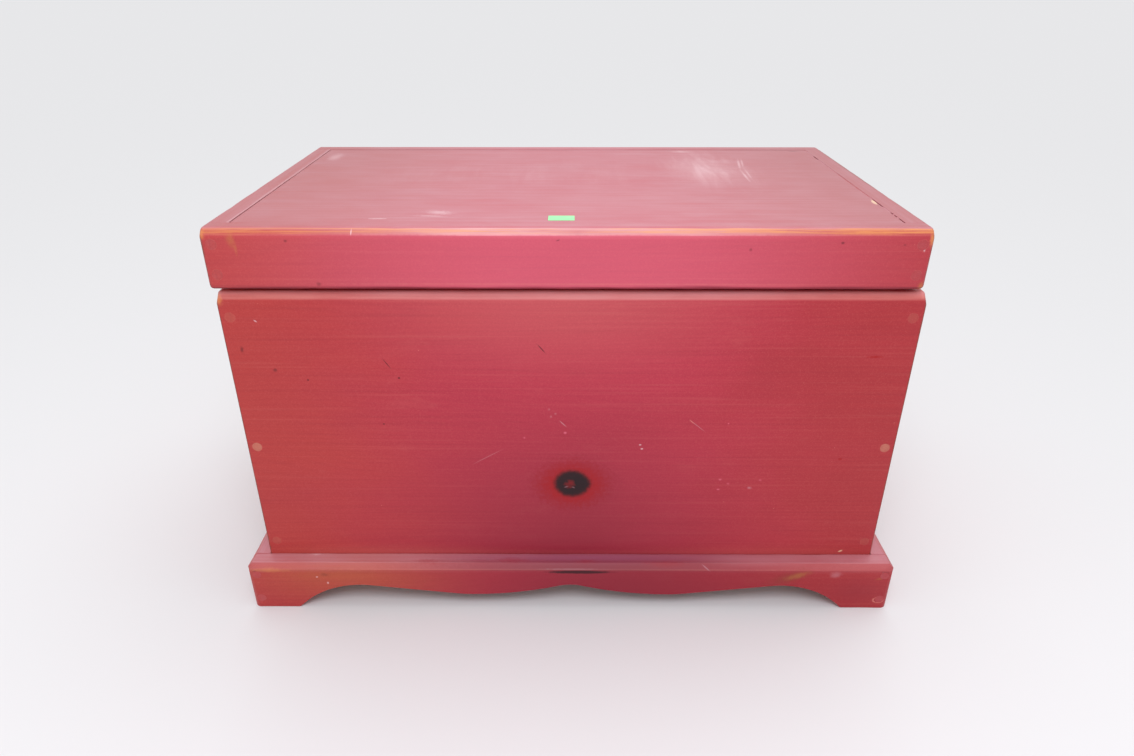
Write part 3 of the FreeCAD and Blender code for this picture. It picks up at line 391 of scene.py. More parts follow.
def plated(name, shade, roughness):
    """Plated metal with rubbed and tarnished places."""
    shader = Shader(name)
    tarnish = shader.cloud(shader.mapped((60, 60, 60)), detail=5, roughness=0.6)
    rubs = shader.cloud(shader.mapped((30, 500, 500)), detail=2)
    metal = shader.blend(shader.step(tarnish, 0.45, 0.75) * 0.3, shade, tints().olive)
    return shader.finish(metal, roughness + tarnish * 0.2 + rubs * 0.1, rubs * 0.03 + tarnish * 0.02,
                         metallic=1.0)


def felt():
    """Pressed wool felt."""
    shader = Shader("felt")
    fluff = shader.cloud(shader.mapped((900, 900, 900)), detail=4, roughness=0.7)
    patches = shader.cloud(shader.mapped((120, 120, 120)), detail=2)
    wool = shader.blend(shader.step(fluff, 0.35, 0.7) * 0.6 + patches * 0.2, tints().felt, tints().pine_dark)
    return shader.finish(wool, 0.95, fluff * 0.5)


def paper():
    """Coloured paper, a little dirty and creased."""
    shader = Shader("paper_tab")
    tooth = shader.cloud(shader.mapped((1500, 1500, 1500)), detail=2)
    dirt = shader.cloud(shader.mapped((90, 90, 90)), detail=4)
    sheet = shader.blend(shader.step(dirt, 0.5, 0.8) * 0.2, tints().tab, tints().scuff_and_highlight)
    return shader.finish(sheet, 0.75 + tooth * 0.1, tooth * 0.05 + dirt * 0.1)


class Coat:
    """Red paint on a pine board, built up in layers of colour, roughness and height."""

    def __init__(self, name, seed, low, high, axis=None):
        self.tint = tint = tints()
        self.shader = shader = Shader(name)
        self.axis = axis = long_axis(low, high) if axis is None else axis
        self.seed, self.low, self.high = seed, low, high
        self.rings, self.fibres, self.clouds = grain(shader, axis, seed)
        self.blots = lengthwise(shader, axis, seed + 1, 14, 30, detail=5, roughness=0.6)
        self.brush = lengthwise(shader, axis, seed + 2, 3, 260, detail=3, roughness=0.6)
        self.streaks = lengthwise(shader, axis, seed + 3, 11, 170, detail=3)
        self.ragged = shader.cloud(shader.mapped((180, 180, 180), (seed, 2, 1)), detail=4, roughness=0.65)
        self.speckle = shader.cloud(shader.mapped((620, 620, 620), (seed, 3, 1)), detail=2, roughness=0.7)
        # Painted light: the paint turns orange towards the ends and crimson in the middle, for warmer light
        # at the ends and cooler light in the middle.
        side = shader.x / CAD_BOX[1].x
        wander = (self.clouds - 0.5) * 0.5
        paint = shader.blend(shader.step(side + wander, 0.1, 0.95), tint.paint_middle, tint.paint_right)
        paint = shader.blend(shader.step(side + wander, -0.1, -0.95), paint, tint.paint_left)
        self.colour = paint
        self.roughness = 0.42 + (self.clouds - 0.5) * 0.12 + (self.fibres - 0.5) * 0.1
        self.height = self.fibres * 0.04 + self.brush * 0.05 + self.speckle * 0.03
        for pattern, start, end, strength, shade in (
                (self.clouds, 0.42, 0.8, 0.1, tint.deep), (self.rings, 0.5, 1.0, 0.05, tint.deep),
                (self.brush, 0.5, 0.72, 0.12, tint.deep), (self.brush, 0.48, 0.25, 0.07, tint.worn_paint_and_painted_light),
                (self.speckle, 0.5, 0.75, 0.16, tint.deep), (self.speckle, 0.5, 0.25, 0.1, tint.worn_paint_and_painted_light),
                (self.blots, 0.58, 0.8, 0.08, tint.deep), (self.blots, 0.4, 0.25, 0.05, tint.worn_paint_and_painted_light)):
            self.cover(shader.step(pattern, start, end) * strength, shade)

    def cover(self, mask, shade, roughness=None, height=None):
        """Lay a colour over what is there, and with it a roughness and a change of height."""
        self.colour = self.shader.blend(mask, self.colour, shade)
        if roughness is not None:
            self.roughness = self.roughness + (roughness - self.roughness) * mask
        if height is not None:
            self.height = self.height + mask * height

    def away(self, side):
        """How far inside a side of the board a point lies."""
        axis, end = SIDES[side]
        here = (self.shader.x, self.shader.y, self.shader.z)[axis]
        return self.high[axis] - here if end else here - self.low[axis]

    def on(self, side, depth=0.3 * MM):
        """1 on a side of the board."""
        return self.shader.step(self.away(side), depth * 3, depth)

    def flecked(self):
        """Small light and dark flecks all over."""
        shader = self.shader
        pale = shader.flecks(shader.mapped(shift=(3, 1, 2)), scale=42, share=0.16, radius=0.9 * MM)
        pits = shader.flecks(shader.mapped(shift=(1, 5, 4)), scale=26, share=0.07, radius=1.1 * MM)
        self.cover(pale * 0.5, self.tint.worn_paint_and_painted_light)
        self.cover(pits * 0.6, self.tint.grime, height=-0.3)

    def line(self, first, second, shade, width, strength):
        """Colour along the arris between two sides."""
        shader = self.shader
        distance = shader.maths("MAXIMUM", self.away(first), self.away(second))
        near = shader.step(distance / width + (self.streaks - 0.5) * 1.6, 1.2, 0.3)
        self.cover(near * strength, shade)

    def chamfer(self, first, second, size, soft=0.4 * MM):
        """1 on the chamfer between two sides, with a softer or harder edge."""
        outer = self.shader.maths("MAXIMUM", self.away(first), self.away(second))
        return self.shader.step(outer, size + soft, size - soft)

    def thinned_chamfer(self, first, second, size, strength):
        """A chamfer with its paint rubbed thin and a pale dusty coat, made paler along its upper edge and in
        the middle as painted light.
        """
        shader = self.shader
        slope = self.chamfer(first, second, size + 0.5 * MM, 2 * MM)
        rubbed = 0.75 + (self.streaks - 0.5) * 0.8 + (self.blots - 0.5) * 0.8
        self.cover(slope * rubbed * strength, self.tint.worn_paint_and_painted_light, roughness=0.55)
        # Painted light: paler along the upper edge, where the lid's overhang shades the box's chamfer.
        upper = shader.step(self.away(second) + (self.clouds - 0.5) * 4 * MM, size * 0.8, size * 0.1)
        # Painted highlight: paler in the middle of the chest's length.
        middle = shader.step(abs(shader.x), 400 * MM, 20 * MM)
        dust_and_painted_light = slope * rubbed * (0.2 + upper * 0.5 + middle * 0.6)
        self.cover(dust_and_painted_light * strength, self.tint.chalk_and_painted_light, roughness=0.55)

    def bared_chamfer(self, first, second, size, strength):
        """A chamfer rubbed to the wood along its upper half, with thin pale paint below and a painted
        highlight along its middle.
        """
        shader, tint = self.shader, self.tint
        slope = self.chamfer(first, second, size)
        below = self.away(second) + (self.clouds - 0.5) * 9 * MM + (self.ragged - 0.5) * 2.4 * MM
        rubbed = slope * shader.step(below, size * 1.2, size * 0.8) * (0.7 + (self.streaks - 0.5) * 1.2)
        # Painted highlight: paler paint and white along the middle of the lid's front chamfer.
        middle = shader.step(abs(shader.x), 370 * MM, 80 * MM)
        self.cover(rubbed * (0.26 + middle * 0.2), tint.worn_paint_and_painted_light, roughness=0.55)
        self.cover(rubbed * middle * 0.5, tint.scuff_and_highlight, roughness=0.55)
        fine = shader.step(self.streaks + (self.fibres - 0.5) * 2, 0.38, 0.62)
        bare = shader.step(below, size * 0.95, size * 0.45) * (0.12 + fine * 0.88)
        bare = slope * bare * (1 + shader.x * 0.7)
        self.cover(bare * strength, tint.worn_wood, roughness=0.6, height=-0.1)

    def scuffed(self, centre, reach, turn, strength):
        """White smears, drawn out across the board's width, in a soft patch."""
        shader = self.shader
        smear = shader.cloud(shader.mapped((44, 7, 1)), detail=4, roughness=0.6, distortion=0.5)
        patch = shader.step(shader.reach(Mark("scuff_and_highlight", centre, reach, turn=turn), True), 1, 0)
        fine = 0.6 + (self.ragged - 0.5) * 1.2
        self.cover(patch * shader.step(smear, 0.42, 0.72) * fine * strength, self.tint.scuff_and_highlight, roughness=0.6)

    def dusted_and_sheened(self, strength=1.0, depth=0.3 * MM):
        """Dust over the face that looks up, down to a depth, made paler still as a painted sheen."""
        bloom_and_sheen = self.on("top", depth) * (
            0.62 + (self.clouds - 0.5) * 0.4 + (self.brush - 0.5) * 0.7 + (self.blots - 0.5) * 0.5)
        self.cover(bloom_and_sheen * strength, self.tint.chalk_and_painted_light, roughness=0.46)

    def dulled(self, strength):
        """Duller colour on the top, towards the ends of the chest."""
        ends = self.shader.step(abs(self.shader.x), 80 * MM, 430 * MM)
        self.cover(self.on("top") * ends * strength, self.tint.olive)

    def marked(self, marks, flat=False, depth=FAR):
        """Separate marks, each an ellipse or its outline, down to a depth below the top."""
        shader = self.shader
        within = shader.step(self.away("top"), depth + 1.5 * MM, depth) if depth < FAR else None
        for mark in marks:
            reach = shader.reach(mark, flat) + (self.ragged - 0.5) * mark.rough
            if mark.ring:
                mask = shader.step(abs(reach - 1), mark.ring, mark.ring * (1 - mark.soft))
            else:
                mask = shader.step(reach, 1, 1 - mark.soft)
            if within:
                mask = mask * within
            self.cover(mask * mark.strength, getattr(self.tint, mark.shade))

    def finish(self):
        """Close the material."""
        return self.shader.finish(self.colour, self.roughness, self.height, specular=0.3)


# ---------------------------------------------------------------- marks of use
def plug_marks(node, clearest):
    """A faint ring over each plug of a node that looks forward, clearer at one height in millimetres."""
    marks, fade = [], 200
    for low, high in (box_of(points) for points in solids_of(node)):
        middle = (low + high) / 2 / MM
        radius = (high.x - low.x) / 2 / MM
        if middle.y < 0:
            clear = max(0.0, 1 - abs(middle.z - clearest) / fade)
            marks.append(Mark("worn_paint_and_painted_light", (middle.x, middle.z), (radius, radius), 0.04 + 0.24 * clear,
                              rough=0.6, ring=0.16))
    return marks


# In each list, a mark is laid over those before it.
KNOT = (1.9, 199.3)
FRONT_MARKS = [
    # Painted shade: darker paint over the lower middle of the front.
    Mark("deep", (0, 60), (350, 370), 0.62, rough=0.1),
    # Painted light: paler over the upper middle of the front, and along its foot beside the ledge.
    Mark("worn_paint_and_painted_light", (-20, 480), (330, 150), 0.2, rough=0.1),
    Mark("worn_paint_and_painted_light", (-280, 77), (310, 22), 0.2, rough=0.3),
    Mark("worn_paint_and_painted_light", (280, 77), (310, 22), 0.16, rough=0.3),
    Mark("worn_paint_and_painted_light", (0, 70), (200, 20), 0.1, rough=0.3),
    Mark("worn_wood", (-431, 468), (6, 9), 0.5, rough=1, soft=0.9),
    Mark("deep", (6, 198), (76, 56), 0.6, rough=0.6, soft=0.9),
    Mark("bright", (2, 198), (64, 50), 0.9, soft=0.7),
    Mark("knot", KNOT, (29, 26), 0.9, rough=0.22, soft=0.36, turn=-4),
    Mark("knot", (8, 200), (27, 14), 0.8, rough=0.4, soft=0.6),
    Mark("knot", KNOT, (27, 24), 0.9, rough=0.22, soft=0.4, turn=-4),
    Mark("bright", (-1, 199), (10, 9), 0.5, rough=1.6),
    Mark("chalk_and_painted_light", (-6, 194), (4, 1.6), 0.35, rough=1.2, turn=20),
    Mark("chalk_and_painted_light", (4, 193), (3.4, 1.8), 0.35, rough=1.2, turn=-25),
    Mark("grime", (-37, 403.7), (10.5, 1.0), 0.85, rough=0.5, soft=0.7, turn=-51),
    Mark("grime", (-234.4, 383), (11, 0.9), 0.75, rough=0.5, soft=0.7, turn=-56),
    Mark("grime", (-220.5, 362.4), (2.2, 1.8), 0.9, rough=0.5, soft=0.7),
    Mark("grime", (-337.8, 359.3), (2, 1.6), 0.8, rough=0.5, soft=0.7),
    Mark("grime", (-247.1, 294), (1.8, 1.5), 0.8, rough=0.5, soft=0.7),
    Mark("bright", (364.2, 240.3), (4, 3), 0.8, rough=0.5, soft=0.7),
    Mark("grime", (-414.7, 401.7), (3, 6), 0.5, rough=1.2, soft=0.7),
    Mark("grime", (-377.8, 373.6), (4, 3), 0.5, rough=1.2, soft=0.7),
    Mark("bright", (384, 393.2), (14, 2.2), 0.85, rough=1.2, soft=0.7, turn=2),
    Mark("scuff_and_highlight", (-391, 441.4), (3.5, 1.4), 0.55, turn=-35),
    Mark("scuff_and_highlight", (93.2, 262.3), (2.4, 1.7), 0.65),
    Mark("scuff_and_highlight", (95.6, 255.9), (2.6, 1.8), 0.6),
    Mark("chalk_and_painted_light", (-28.5, 316.4), (2.2, 2.6), 0.3),
    Mark("chalk_and_painted_light", (-20, 310), (2.6, 2.2), 0.4),
    Mark("chalk_and_painted_light", (-26, 305.4), (2, 3), 0.4),
    Mark("chalk_and_painted_light", (-10.2, 294.6), (8.5, 1.1), 0.6, rough=0.5, soft=0.7, turn=-46),
    Mark("rosy_and_highlight", (-7.3, 280.7), (3, 2.6), 0.6),
    Mark("rosy_and_highlight", (-61.9, 273), (2.2, 2.2), 0.45),
    Mark("chalk_and_painted_light", (168, 291.6), (17, 0.9), 0.4, rough=0.5, soft=0.7, turn=-40),
    Mark("worn_paint_and_painted_light", (160, 298), (6, 1), 0.5, rough=0.5, soft=0.7, turn=-42),
    Mark("rosy_and_highlight", (208.4, 295.6), (1.6, 1.6), 0.5),
    Mark("chalk_and_painted_light", (-112, 243), (30, 0.9), 0.32, rough=0.5, soft=0.7, turn=30),
    Mark("rosy_and_highlight", (205, 206.5), (3.4, 2.4), 0.4, rough=1.2),
    Mark("rosy_and_highlight", (217, 199.7), (2.8, 2.6), 0.3, rough=1.2),
    Mark("chalk_and_painted_light", (246.6, 192.9), (4.4, 3), 0.5, rough=1.2),
    Mark("rosy_and_highlight", (260, 205.7), (3.2, 2.6), 0.4, rough=1.2),
    Mark("rosy_and_highlight", (203.7, 190.3), (3.4, 1.8), 0.45, rough=1.2),
    Mark("chip", (389.3, 82.8), (4, 1.8), 0.7, soft=0.7, turn=25),
]
FRONT_RAIL_MARKS = [
    Mark("worn_wood", (-434, 551), (6, 7), 0.5, rough=1, soft=0.9),
    Mark("olive", (-436, 535), (4, 20), 0.5, rough=0.6, soft=0.9),
    Mark("worn_wood", (423, 546), (4, 12), 0.55, rough=1, soft=0.9),
    Mark("stain", (421, 489), (5, 8), 0.45, rough=1),
    Mark("stain", (-400, 545), (8, 15), 0.3, rough=0.7, turn=8),
    Mark("stain", (-396, 534), (3, 12), 0.2, rough=0.7),
    Mark("worn_paint_and_painted_light", (0, 491.2), (420, 1.0), 0.25, rough=1.2, soft=0.8),
    Mark("grime", (-335.9, 544.4), (3, 2.4), 0.55),
    Mark("grime", (-303.7, 491), (5, 3.4), 0.45, rough=1.2),
    Mark("grime", (-15.4, 545.5), (3.5, 1.2), 0.6, turn=20),
    Mark("grime", (211.8, 534), (3, 3), 0.5, rough=1),
    Mark("grime", (318.6, 542.6), (3, 2.4), 0.65),
    Mark("grime", (391.7, 540.2), (2.4, 2), 0.4),
    Mark("scuff_and_highlight", (415.8, 534.2), (1.6, 3.4), 0.45, turn=10),
    Mark("scuff_and_highlight", (-258.2, 554), (1.0, 4), 0.6, rough=0.5, soft=0.7),
]
TOP_MARKS = [
    Mark("scuff_and_highlight", (205, 70), (80, 130), 0.22, rough=0.6),
    Mark("deep", (265, 92), (130, 1.4), 0.3, rough=1.2, soft=0.8),
    Mark("knot", (376, 211), (12, 2), 0.6, soft=0.6),
    Mark("scuff_and_highlight", (185, 206), (20, 14), 0.3, rough=1.2),
    Mark("scuff_and_highlight", (264.5, 108), (3, 50), 0.42, turn=-8),
    Mark("scuff_and_highlight", (258, 26), (2.8, 52), 0.42, turn=-1),
    Mark("scuff_and_highlight", (271, 116), (2.6, 44), 0.36, turn=-8),
    Mark("scuff_and_highlight", (265, 40), (2.4, 44), 0.3, turn=-2),
    Mark("scuff_and_highlight", (-164, -180), (26, 13), 0.34, rough=1.2, turn=-12),
    Mark("scuff_and_highlight", (-172, -196), (30, 6), 0.25, rough=1.2, turn=-10),
    Mark("scuff_and_highlight", (-236, -208), (17, 3), 0.4, rough=1.6, soft=0.7),
    Mark("chip", (395.5, -127), (3.4, 15), 0.7, rough=1.4, soft=0.5, turn=-6),
    Mark("scuff_and_highlight", (-385, 160), (16, 40), 0.28, rough=1),
]
SKIRT_MARKS = [
    Mark("stain", (-290, 50), (220, 60), 0.18, rough=0.3),
    Mark("bright", (120, 40), (560, 120), 0.3, rough=0.3),
    # Painted shade: darker paint over the middle of the plinth's front.
    Mark("deep", (60, 40), (400, 140), 0.7, rough=0.1),
    Mark("worn_paint_and_painted_light", (0, 69.8), (456, 1.2), 0.3, rough=1, soft=0.8),
    Mark("knot", (12, 66), (58, 3.8), 0.85, rough=0.5, soft=0.5),
    Mark("scuff_and_highlight", (4, 70.4), (60, 1.3), 0.32, soft=0.8),
    Mark("stain", (-350, 60), (115, 16), 0.09, rough=0.7),
    Mark("worn_wood", (-430, 68), (44, 5), 0.35, rough=0.9),
    Mark("grime", (-351, 60), (10, 5), 0.3, rough=1),
    Mark("scuff_and_highlight", (-362.8, 56), (2.4, 1.8), 0.7),
    Mark("scuff_and_highlight", (-348.6, 45), (2.0, 2.6), 0.6),
    Mark("deep", (420, 30), (90, 40), 0.3, rough=0.4),
    Mark("chalk_and_painted_light", (193, 72), (9, 1.1), 0.8, rough=0.5, soft=0.7, turn=-32),
    Mark("olive", (312, 56), (44, 14), 0.4, turn=20),
    Mark("stain", (324, 60), (26, 7), 0.32, rough=1, turn=20),
    Mark("chalk_and_painted_light", (378.6, 62), (12, 8), 0.4, rough=1),
    Mark("worn_paint_and_painted_light", (446.9, 15.1), (7, 5.5), 0.6, rough=1.2, soft=0.7, ring=0.18),
    Mark("stain", (444, 55), (12, 3), 0.25, rough=1.2, turn=10),
]
LEDGE_MARKS = [
    # Painted shade: darker paint over the middle of the ledge.
    Mark("deep", (20, -275), (340, 24), 0.74, rough=0.2),
    # Painted sheen: a bluish tint on the ledge's flat, along its middle.
    Mark("lilac_sheen", (30, -258), (330, 16), 0.2, rough=0.3),
    Mark("chalk_and_painted_light", (270, -262), (110, 14), 0.35, rough=0.5),
    Mark("chalk_and_painted_light", (-240, -260), (80, 12), 0.2, rough=0.5),
    Mark("scuff_and_highlight", (-367, -252), (11, 3.4), 0.4, rough=1.6),
    Mark("bright", (-205, -266), (26, 6), 0.3, rough=1.2),
    Mark("bright", (-84, -264), (34, 8), 0.28, rough=1.2),
    Mark("bright", (22, -266), (24, 7), 0.25, rough=1.2),
    Mark("bright", (137, -270), (42, 6), 0.3, rough=1.2),
]


# ---------------------------------------------------------------- modelling helpers
def deselect():
    """Leave nothing selected, and nothing in edit mode."""
    if bpy.context.object and bpy.context.object.mode != "OBJECT":
        bpy.ops.object.mode_set(mode="OBJECT")
    bpy.ops.object.select_all(action="DESELECT")


def pick(*pieces):
    """Select these pieces alone; the first is the active one."""
    deselect()
    for piece in pieces:
        piece.select_set(True)
    bpy.context.view_layer.objects.active = pieces[0]


def named(piece, name):
    """Name a piece and its mesh."""
    piece.name = piece.data.name = name
    return piece


def settle(piece):
    """Put a piece's place, turn and scale in its mesh."""
    pick(piece)
    bpy.ops.object.transform_apply(location=True, rotation=True, scale=True)
    return piece


def apply_modifier(piece, kind, **settings):
    """Add a modifier to a piece and apply it."""
    pick(piece)
    modifier = piece.modifiers.new(kind.title(), kind)
    for name, setting in settings.items():
        setattr(modifier, name, setting)
    bpy.ops.object.modifier_apply(modifier=modifier.name)


def block(name, low, high):
    """A block between two corners."""
    deselect()
    bpy.ops.mesh.primitive_cube_add(size=1, location=(low + high) / 2, scale=high - low)
    return settle(named(bpy.context.object, name))


def bevel(piece, width, segments, test):
    """Bevel the edges that pass a test."""
    pick(piece)
    bpy.ops.object.mode_set(mode="EDIT")
    bpy.ops.mesh.select_mode(type="EDGE")
    bpy.ops.mesh.select_all(action="DESELECT")
    shape = bmesh.from_edit_mesh(piece.data)
    for edge in shape.edges:
        edge.select_set(test(edge))
    bmesh.update_edit_mesh(piece.data)
    bpy.ops.mesh.bevel(offset=width, segments=segments, affect="EDGES", clamp_overlap=False)
    bpy.ops.object.mode_set(mode="OBJECT")


def on_side(point, side, low, high):
    """Is a point on a side of a box?"""
    axis, end = SIDES[side]
    return abs(point[axis] - (low, high)[end][axis]) < ALMOST


def lies_on(edge, side, low, high):
    """Is an edge on a side of a box?"""
    return all(on_side(vertex.co, side, low, high) for vertex in edge.verts)


def turns(edge, angle):
    """Do an edge's two faces turn by more than an angle?"""
    return len(edge.link_faces) == 2 and edge.calc_face_angle() > math.radians(angle)


def bevel_sides(piece, low, high, places, width, segments):
    """Bevel the edges that lie on all the sides of one place, and off those with a minus."""
    bevel(piece, width, segments, lambda edge: any(
        all(lies_on(edge, side.strip("-"), low, high) != side.startswith("-") for side in sides.split())
        for sides in places))


def bevel_sharp(piece, width, segments=2, angle=60, shortest=0.0):
    """Round the edges that turn by more than an angle, short ones left out."""
    bevel(piece, width, segments, lambda edge: edge.calc_length() >= shortest and turns(edge, angle))


def round_board(piece, low, high, joint_sides, arris, joint_arris):
    """Round a board's outer arrises well, and those on its joint sides a little."""
    bevel(piece, arris, segments=4, test=lambda edge: turns(edge, angle=30) and not any(
        lies_on(edge, side, low, high) for side in joint_sides))
    bevel_sharp(piece, joint_arris)


def round_corners(piece, side, radius):
    """Round a board's two upright corners on one side."""
    low, high = box_of_piece(piece)
    trim = block("trim", low, high)
    bevel_sides(trim, low, high, [f"{side} {end}" for end in ENDS], radius, segments=8)
    apply_modifier(piece, "BOOLEAN", object=trim, operation="INTERSECT", solver="EXACT")
    bpy.data.objects.remove(trim)


def unit(axis):
    """A vector of length one along an axis."""
    return Vector([float(number == axis) for number in range(3)])


def sliced(piece, axis, places):
    """Cut a piece across an axis at some places, keeping all of it."""
    pick(piece)
    bpy.ops.object.mode_set(mode="EDIT")
    normal = unit(axis)
    for where in places:
        bpy.ops.mesh.select_all(action="SELECT")
        bpy.ops.mesh.bisect(plane_co=normal * where, plane_no=normal)
    bpy.ops.object.mode_set(mode="OBJECT")


def cut_out(piece, cutters):
    """Take the cutters' shapes out of a piece."""
    pick(*cutters)
    if len(cutters) > 1:
        bpy.ops.object.join()
    cutter = bpy.context.object
    apply_modifier(piece, "BOOLEAN", object=cutter, operation="DIFFERENCE", solver="EXACT")
    bpy.data.objects.remove(cutter)


def bored(piece, node, radius):
    """Bore a piece for the plugs of a node, as far as each plug reaches."""
    low, high = box_of_piece(piece)
    drills = []
    for plug_low, plug_high in (box_of(points) for points in solids_of(node)):
        middle = (plug_low + plug_high) / 2
        if low.y < middle.y < high.y:
            outward = -1 if middle.y < 0 else 1
            depth = plug_high.y - plug_low.y
            deselect()
            bpy.ops.mesh.primitive_cylinder_add(
                vertices=32, radius=radius, depth=depth * 2, rotation=(math.pi / 2, 0, 0),
                location=middle + Vector((0, outward * depth / 2, 0)))
            drills.append(bpy.context.object)
    cut_out(piece, drills)


def smooth(piece, angle=35):
    """Smooth shading over the rounded edges, with flat faces left flat."""
    pick(piece)
    bpy.ops.object.shade_smooth_by_angle(angle=math.radians(angle))
    apply_modifier(piece, "WEIGHTED_NORMAL", weight=100, keep_sharp=True)


def rub(piece, low, high, depth, seed, heights=()):
    """Cut a board across at uneven places, and push its points near an arris in by an uneven depth."""
    along = long_axis(low, high)
    sliced(piece, along, cuts_between(low[along], high[along], WEAR_PITCH, seed))
    if heights:
        sliced(piece, 2, heights)
    middle = (low + high) / 2
    for vertex in piece.data.vertices:
        point = vertex.co
        inside = [min(point[axis] - low[axis], high[axis] - point[axis]) for axis in range(3)]
        if sum(distance < WEAR_REACH for distance in inside) < 2:
            continue
        coarse = noise.noise(point * COARSE_WEAR + Vector((seed, 0, 0)))
        amount = max(0.0, coarse + 0.6 * noise.noise(point * FINE_WEAR)) * depth
        for axis in range(3):
            if ALMOST < inside[axis] < WEAR_REACH:
                inward = 1 if point[axis] < middle[axis] else -1
                vertex.co[axis] += inward * amount


def prepared(piece, node, seed, low, high, heights=(), plugs=None):
    """Wear a board, bore it for its plugs, and start its coat of paint."""
    sizes = bpy.context.scene.chest_sizes
    rub(piece, low, high, sizes.wear_depth, seed, heights)
    if plugs:
        bored(piece, plugs, sizes.bore_radius)
    smooth(piece)
    coat = Coat("paint_" + node, seed, low, high)
    coat.flecked()
    return coat


def solids_of(node):
    """The points of each separate solid in a CAD node."""
    shape = bmesh.new()
    shape.from_mesh(frame["nodes"][node].data)
    bmesh.ops.remove_doubles(shape, verts=shape.verts, dist=ALMOST / 10)
    left, found = set(shape.verts), []
    while left:
        group, waiting = set(), [left.pop()]
        while waiting:
            vertex = waiting.pop()
            group.add(vertex)
            for edge in vertex.link_edges:
                other = edge.other_vert(vertex)
                if other in left:
                    left.remove(other)
                    waiting.append(other)
        found.append([vertex.co.copy() for vertex in group])
    shape.free()
    return sorted(found, key=lambda points: tuple(round(value, 4) for value in box_of(points)[0]))


def box_of(points):
    """The lowest and the highest corner of some points."""
    return (Vector([min(point[axis] for point in points) for axis in range(3)]),
            Vector([max(point[axis] for point in points) for axis in range(3)]))


def box_of_piece(piece):
    """The lowest and the highest corner of a piece."""
    return box_of([vertex.co for vertex in piece.data.vertices])


def cad_copy(node, name):
    """A copy of a CAD node's mesh, merged, with its flat faces whole."""
    pick(frame["nodes"][node])
    bpy.ops.object.duplicate()
    piece = named(bpy.context.object, name)
    bpy.ops.object.parent_clear(type="CLEAR_KEEP_TRANSFORM")
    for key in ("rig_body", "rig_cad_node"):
        del piece[key]
    bpy.ops.object.mode_set(mode="EDIT")
    bpy.ops.mesh.select_all(action="SELECT")
    bpy.ops.mesh.remove_doubles(threshold=ALMOST / 10)
    bpy.ops.mesh.dissolve_limited(angle_limit=math.radians(0.5))
    bpy.ops.object.mode_set(mode="OBJECT")
    return piece


def eased(node, name, width, **bevelling):
    """A copy of a CAD node with its sharp edges rounded and smooth shading."""
    piece = cad_copy(node, name)
    bevel_sharp(piece, width, **bevelling)
    smooth(piece)
    return piece


def hand_over(piece, body, slot, *nodes):
    """Attach a piece to the body that it rides on, and hide the CAD nodes that it stands for. The slot, its
    finish, is not used.
    """
    deselect()
    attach(piece, body)
    if nodes:
        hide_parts(*nodes)


def paint(piece, *materials):
    """Give a piece its materials."""
    piece.data.materials.clear()
    for material in materials:
        piece.data.materials.append(material)


def long_axis(low, high):
    """The axis along which a piece is longest."""
    return max(range(3), key=lambda axis: high[axis] - low[axis])


def cuts_between(start, end, pitch, seed):
    """Uneven places between two ends."""
    chance = random.Random(seed)
    count = max(2, round((end - start) / pitch))
    step = (end - start) / count
    return [start + step * (number + 0.5 * chance.random() - 0.25) for number in range(1, count)]


# ---------------------------------------------------------------- the pieces
JOINTS = {
    # where a board stands: the sides on which it meets other boards
    "front": ("back",),
    "back": ("front",),
    "left": ("right", "front", "back"),
    "right": ("left", "front", "back"),
    "top": ("left", "right", "front", "back"),
}
LONG_WALLS = ("front", "back")      # those whose boards reach from end to end
ENDS = ("left", "right")
WALLS = LONG_WALLS + ENDS


def finish_board(piece, coat, node, wall, body, height=FAR):
    """Paint a board, leave its inner side bare up to a height, and hand it over."""
    paint(piece, coat.finish(), bare_pine("inside_of_" + node, coat.axis, coat.seed))
    for face in piece.data.polygons:
        if on_side(face.center, OPPOSITE[wall], coat.low, coat.high) and face.center.z < height:
            face.material_index = 1
    hand_over(piece, body, "red_painted_pine", node)


class CHEST_OT_box(bpy.types.Operator):
    """Make the painted boards of the box"""

    bl_idname = "chest.box"
    bl_label = "Box"

    def execute(self, context):
        sizes, tint = context.scene.chest_sizes, tints()
        for seed, wall in enumerate(WALLS, start=1):
            long = wall in LONG_WALLS
            node = wall + ("_panel" if long else "_end_panel")
            ends = ENDS if long else (wall,)
            low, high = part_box(node)
            piece = block("painted_" + node, low, high)
            if wall == "front":
                bevel_sides(piece, low, high, ["front top"], sizes.body_chamfer, segments=1)
            rounded = [end + " -bottom -front -back" for end in ends]
            bevel_sides(piece, low, high, rounded, sizes.body_round, segments=2)
            round_board(piece, low, high, JOINTS[wall], sizes.arris, sizes.joint_arris)
            coat = prepared(piece, node, seed, low, high, plugs="body_plugs" if long else None)
            for side in ends:
                coat.thinned_chamfer(side, "top", sizes.body_round, strength=0.45)
            if long:
                for end in ends:
                    coat.line(wall, end, tint.olive, width=2.6 * MM, strength=0.75)
            if wall == "front":
                coat.thinned_chamfer("front", "top", sizes.body_chamfer, strength=0.6)
                coat.marked(plug_marks("body_plugs", clearest=300))
                coat.marked(FRONT_MARKS)
            finish_board(piece, coat, node, wall, "chest")
        return {"FINISHED"}


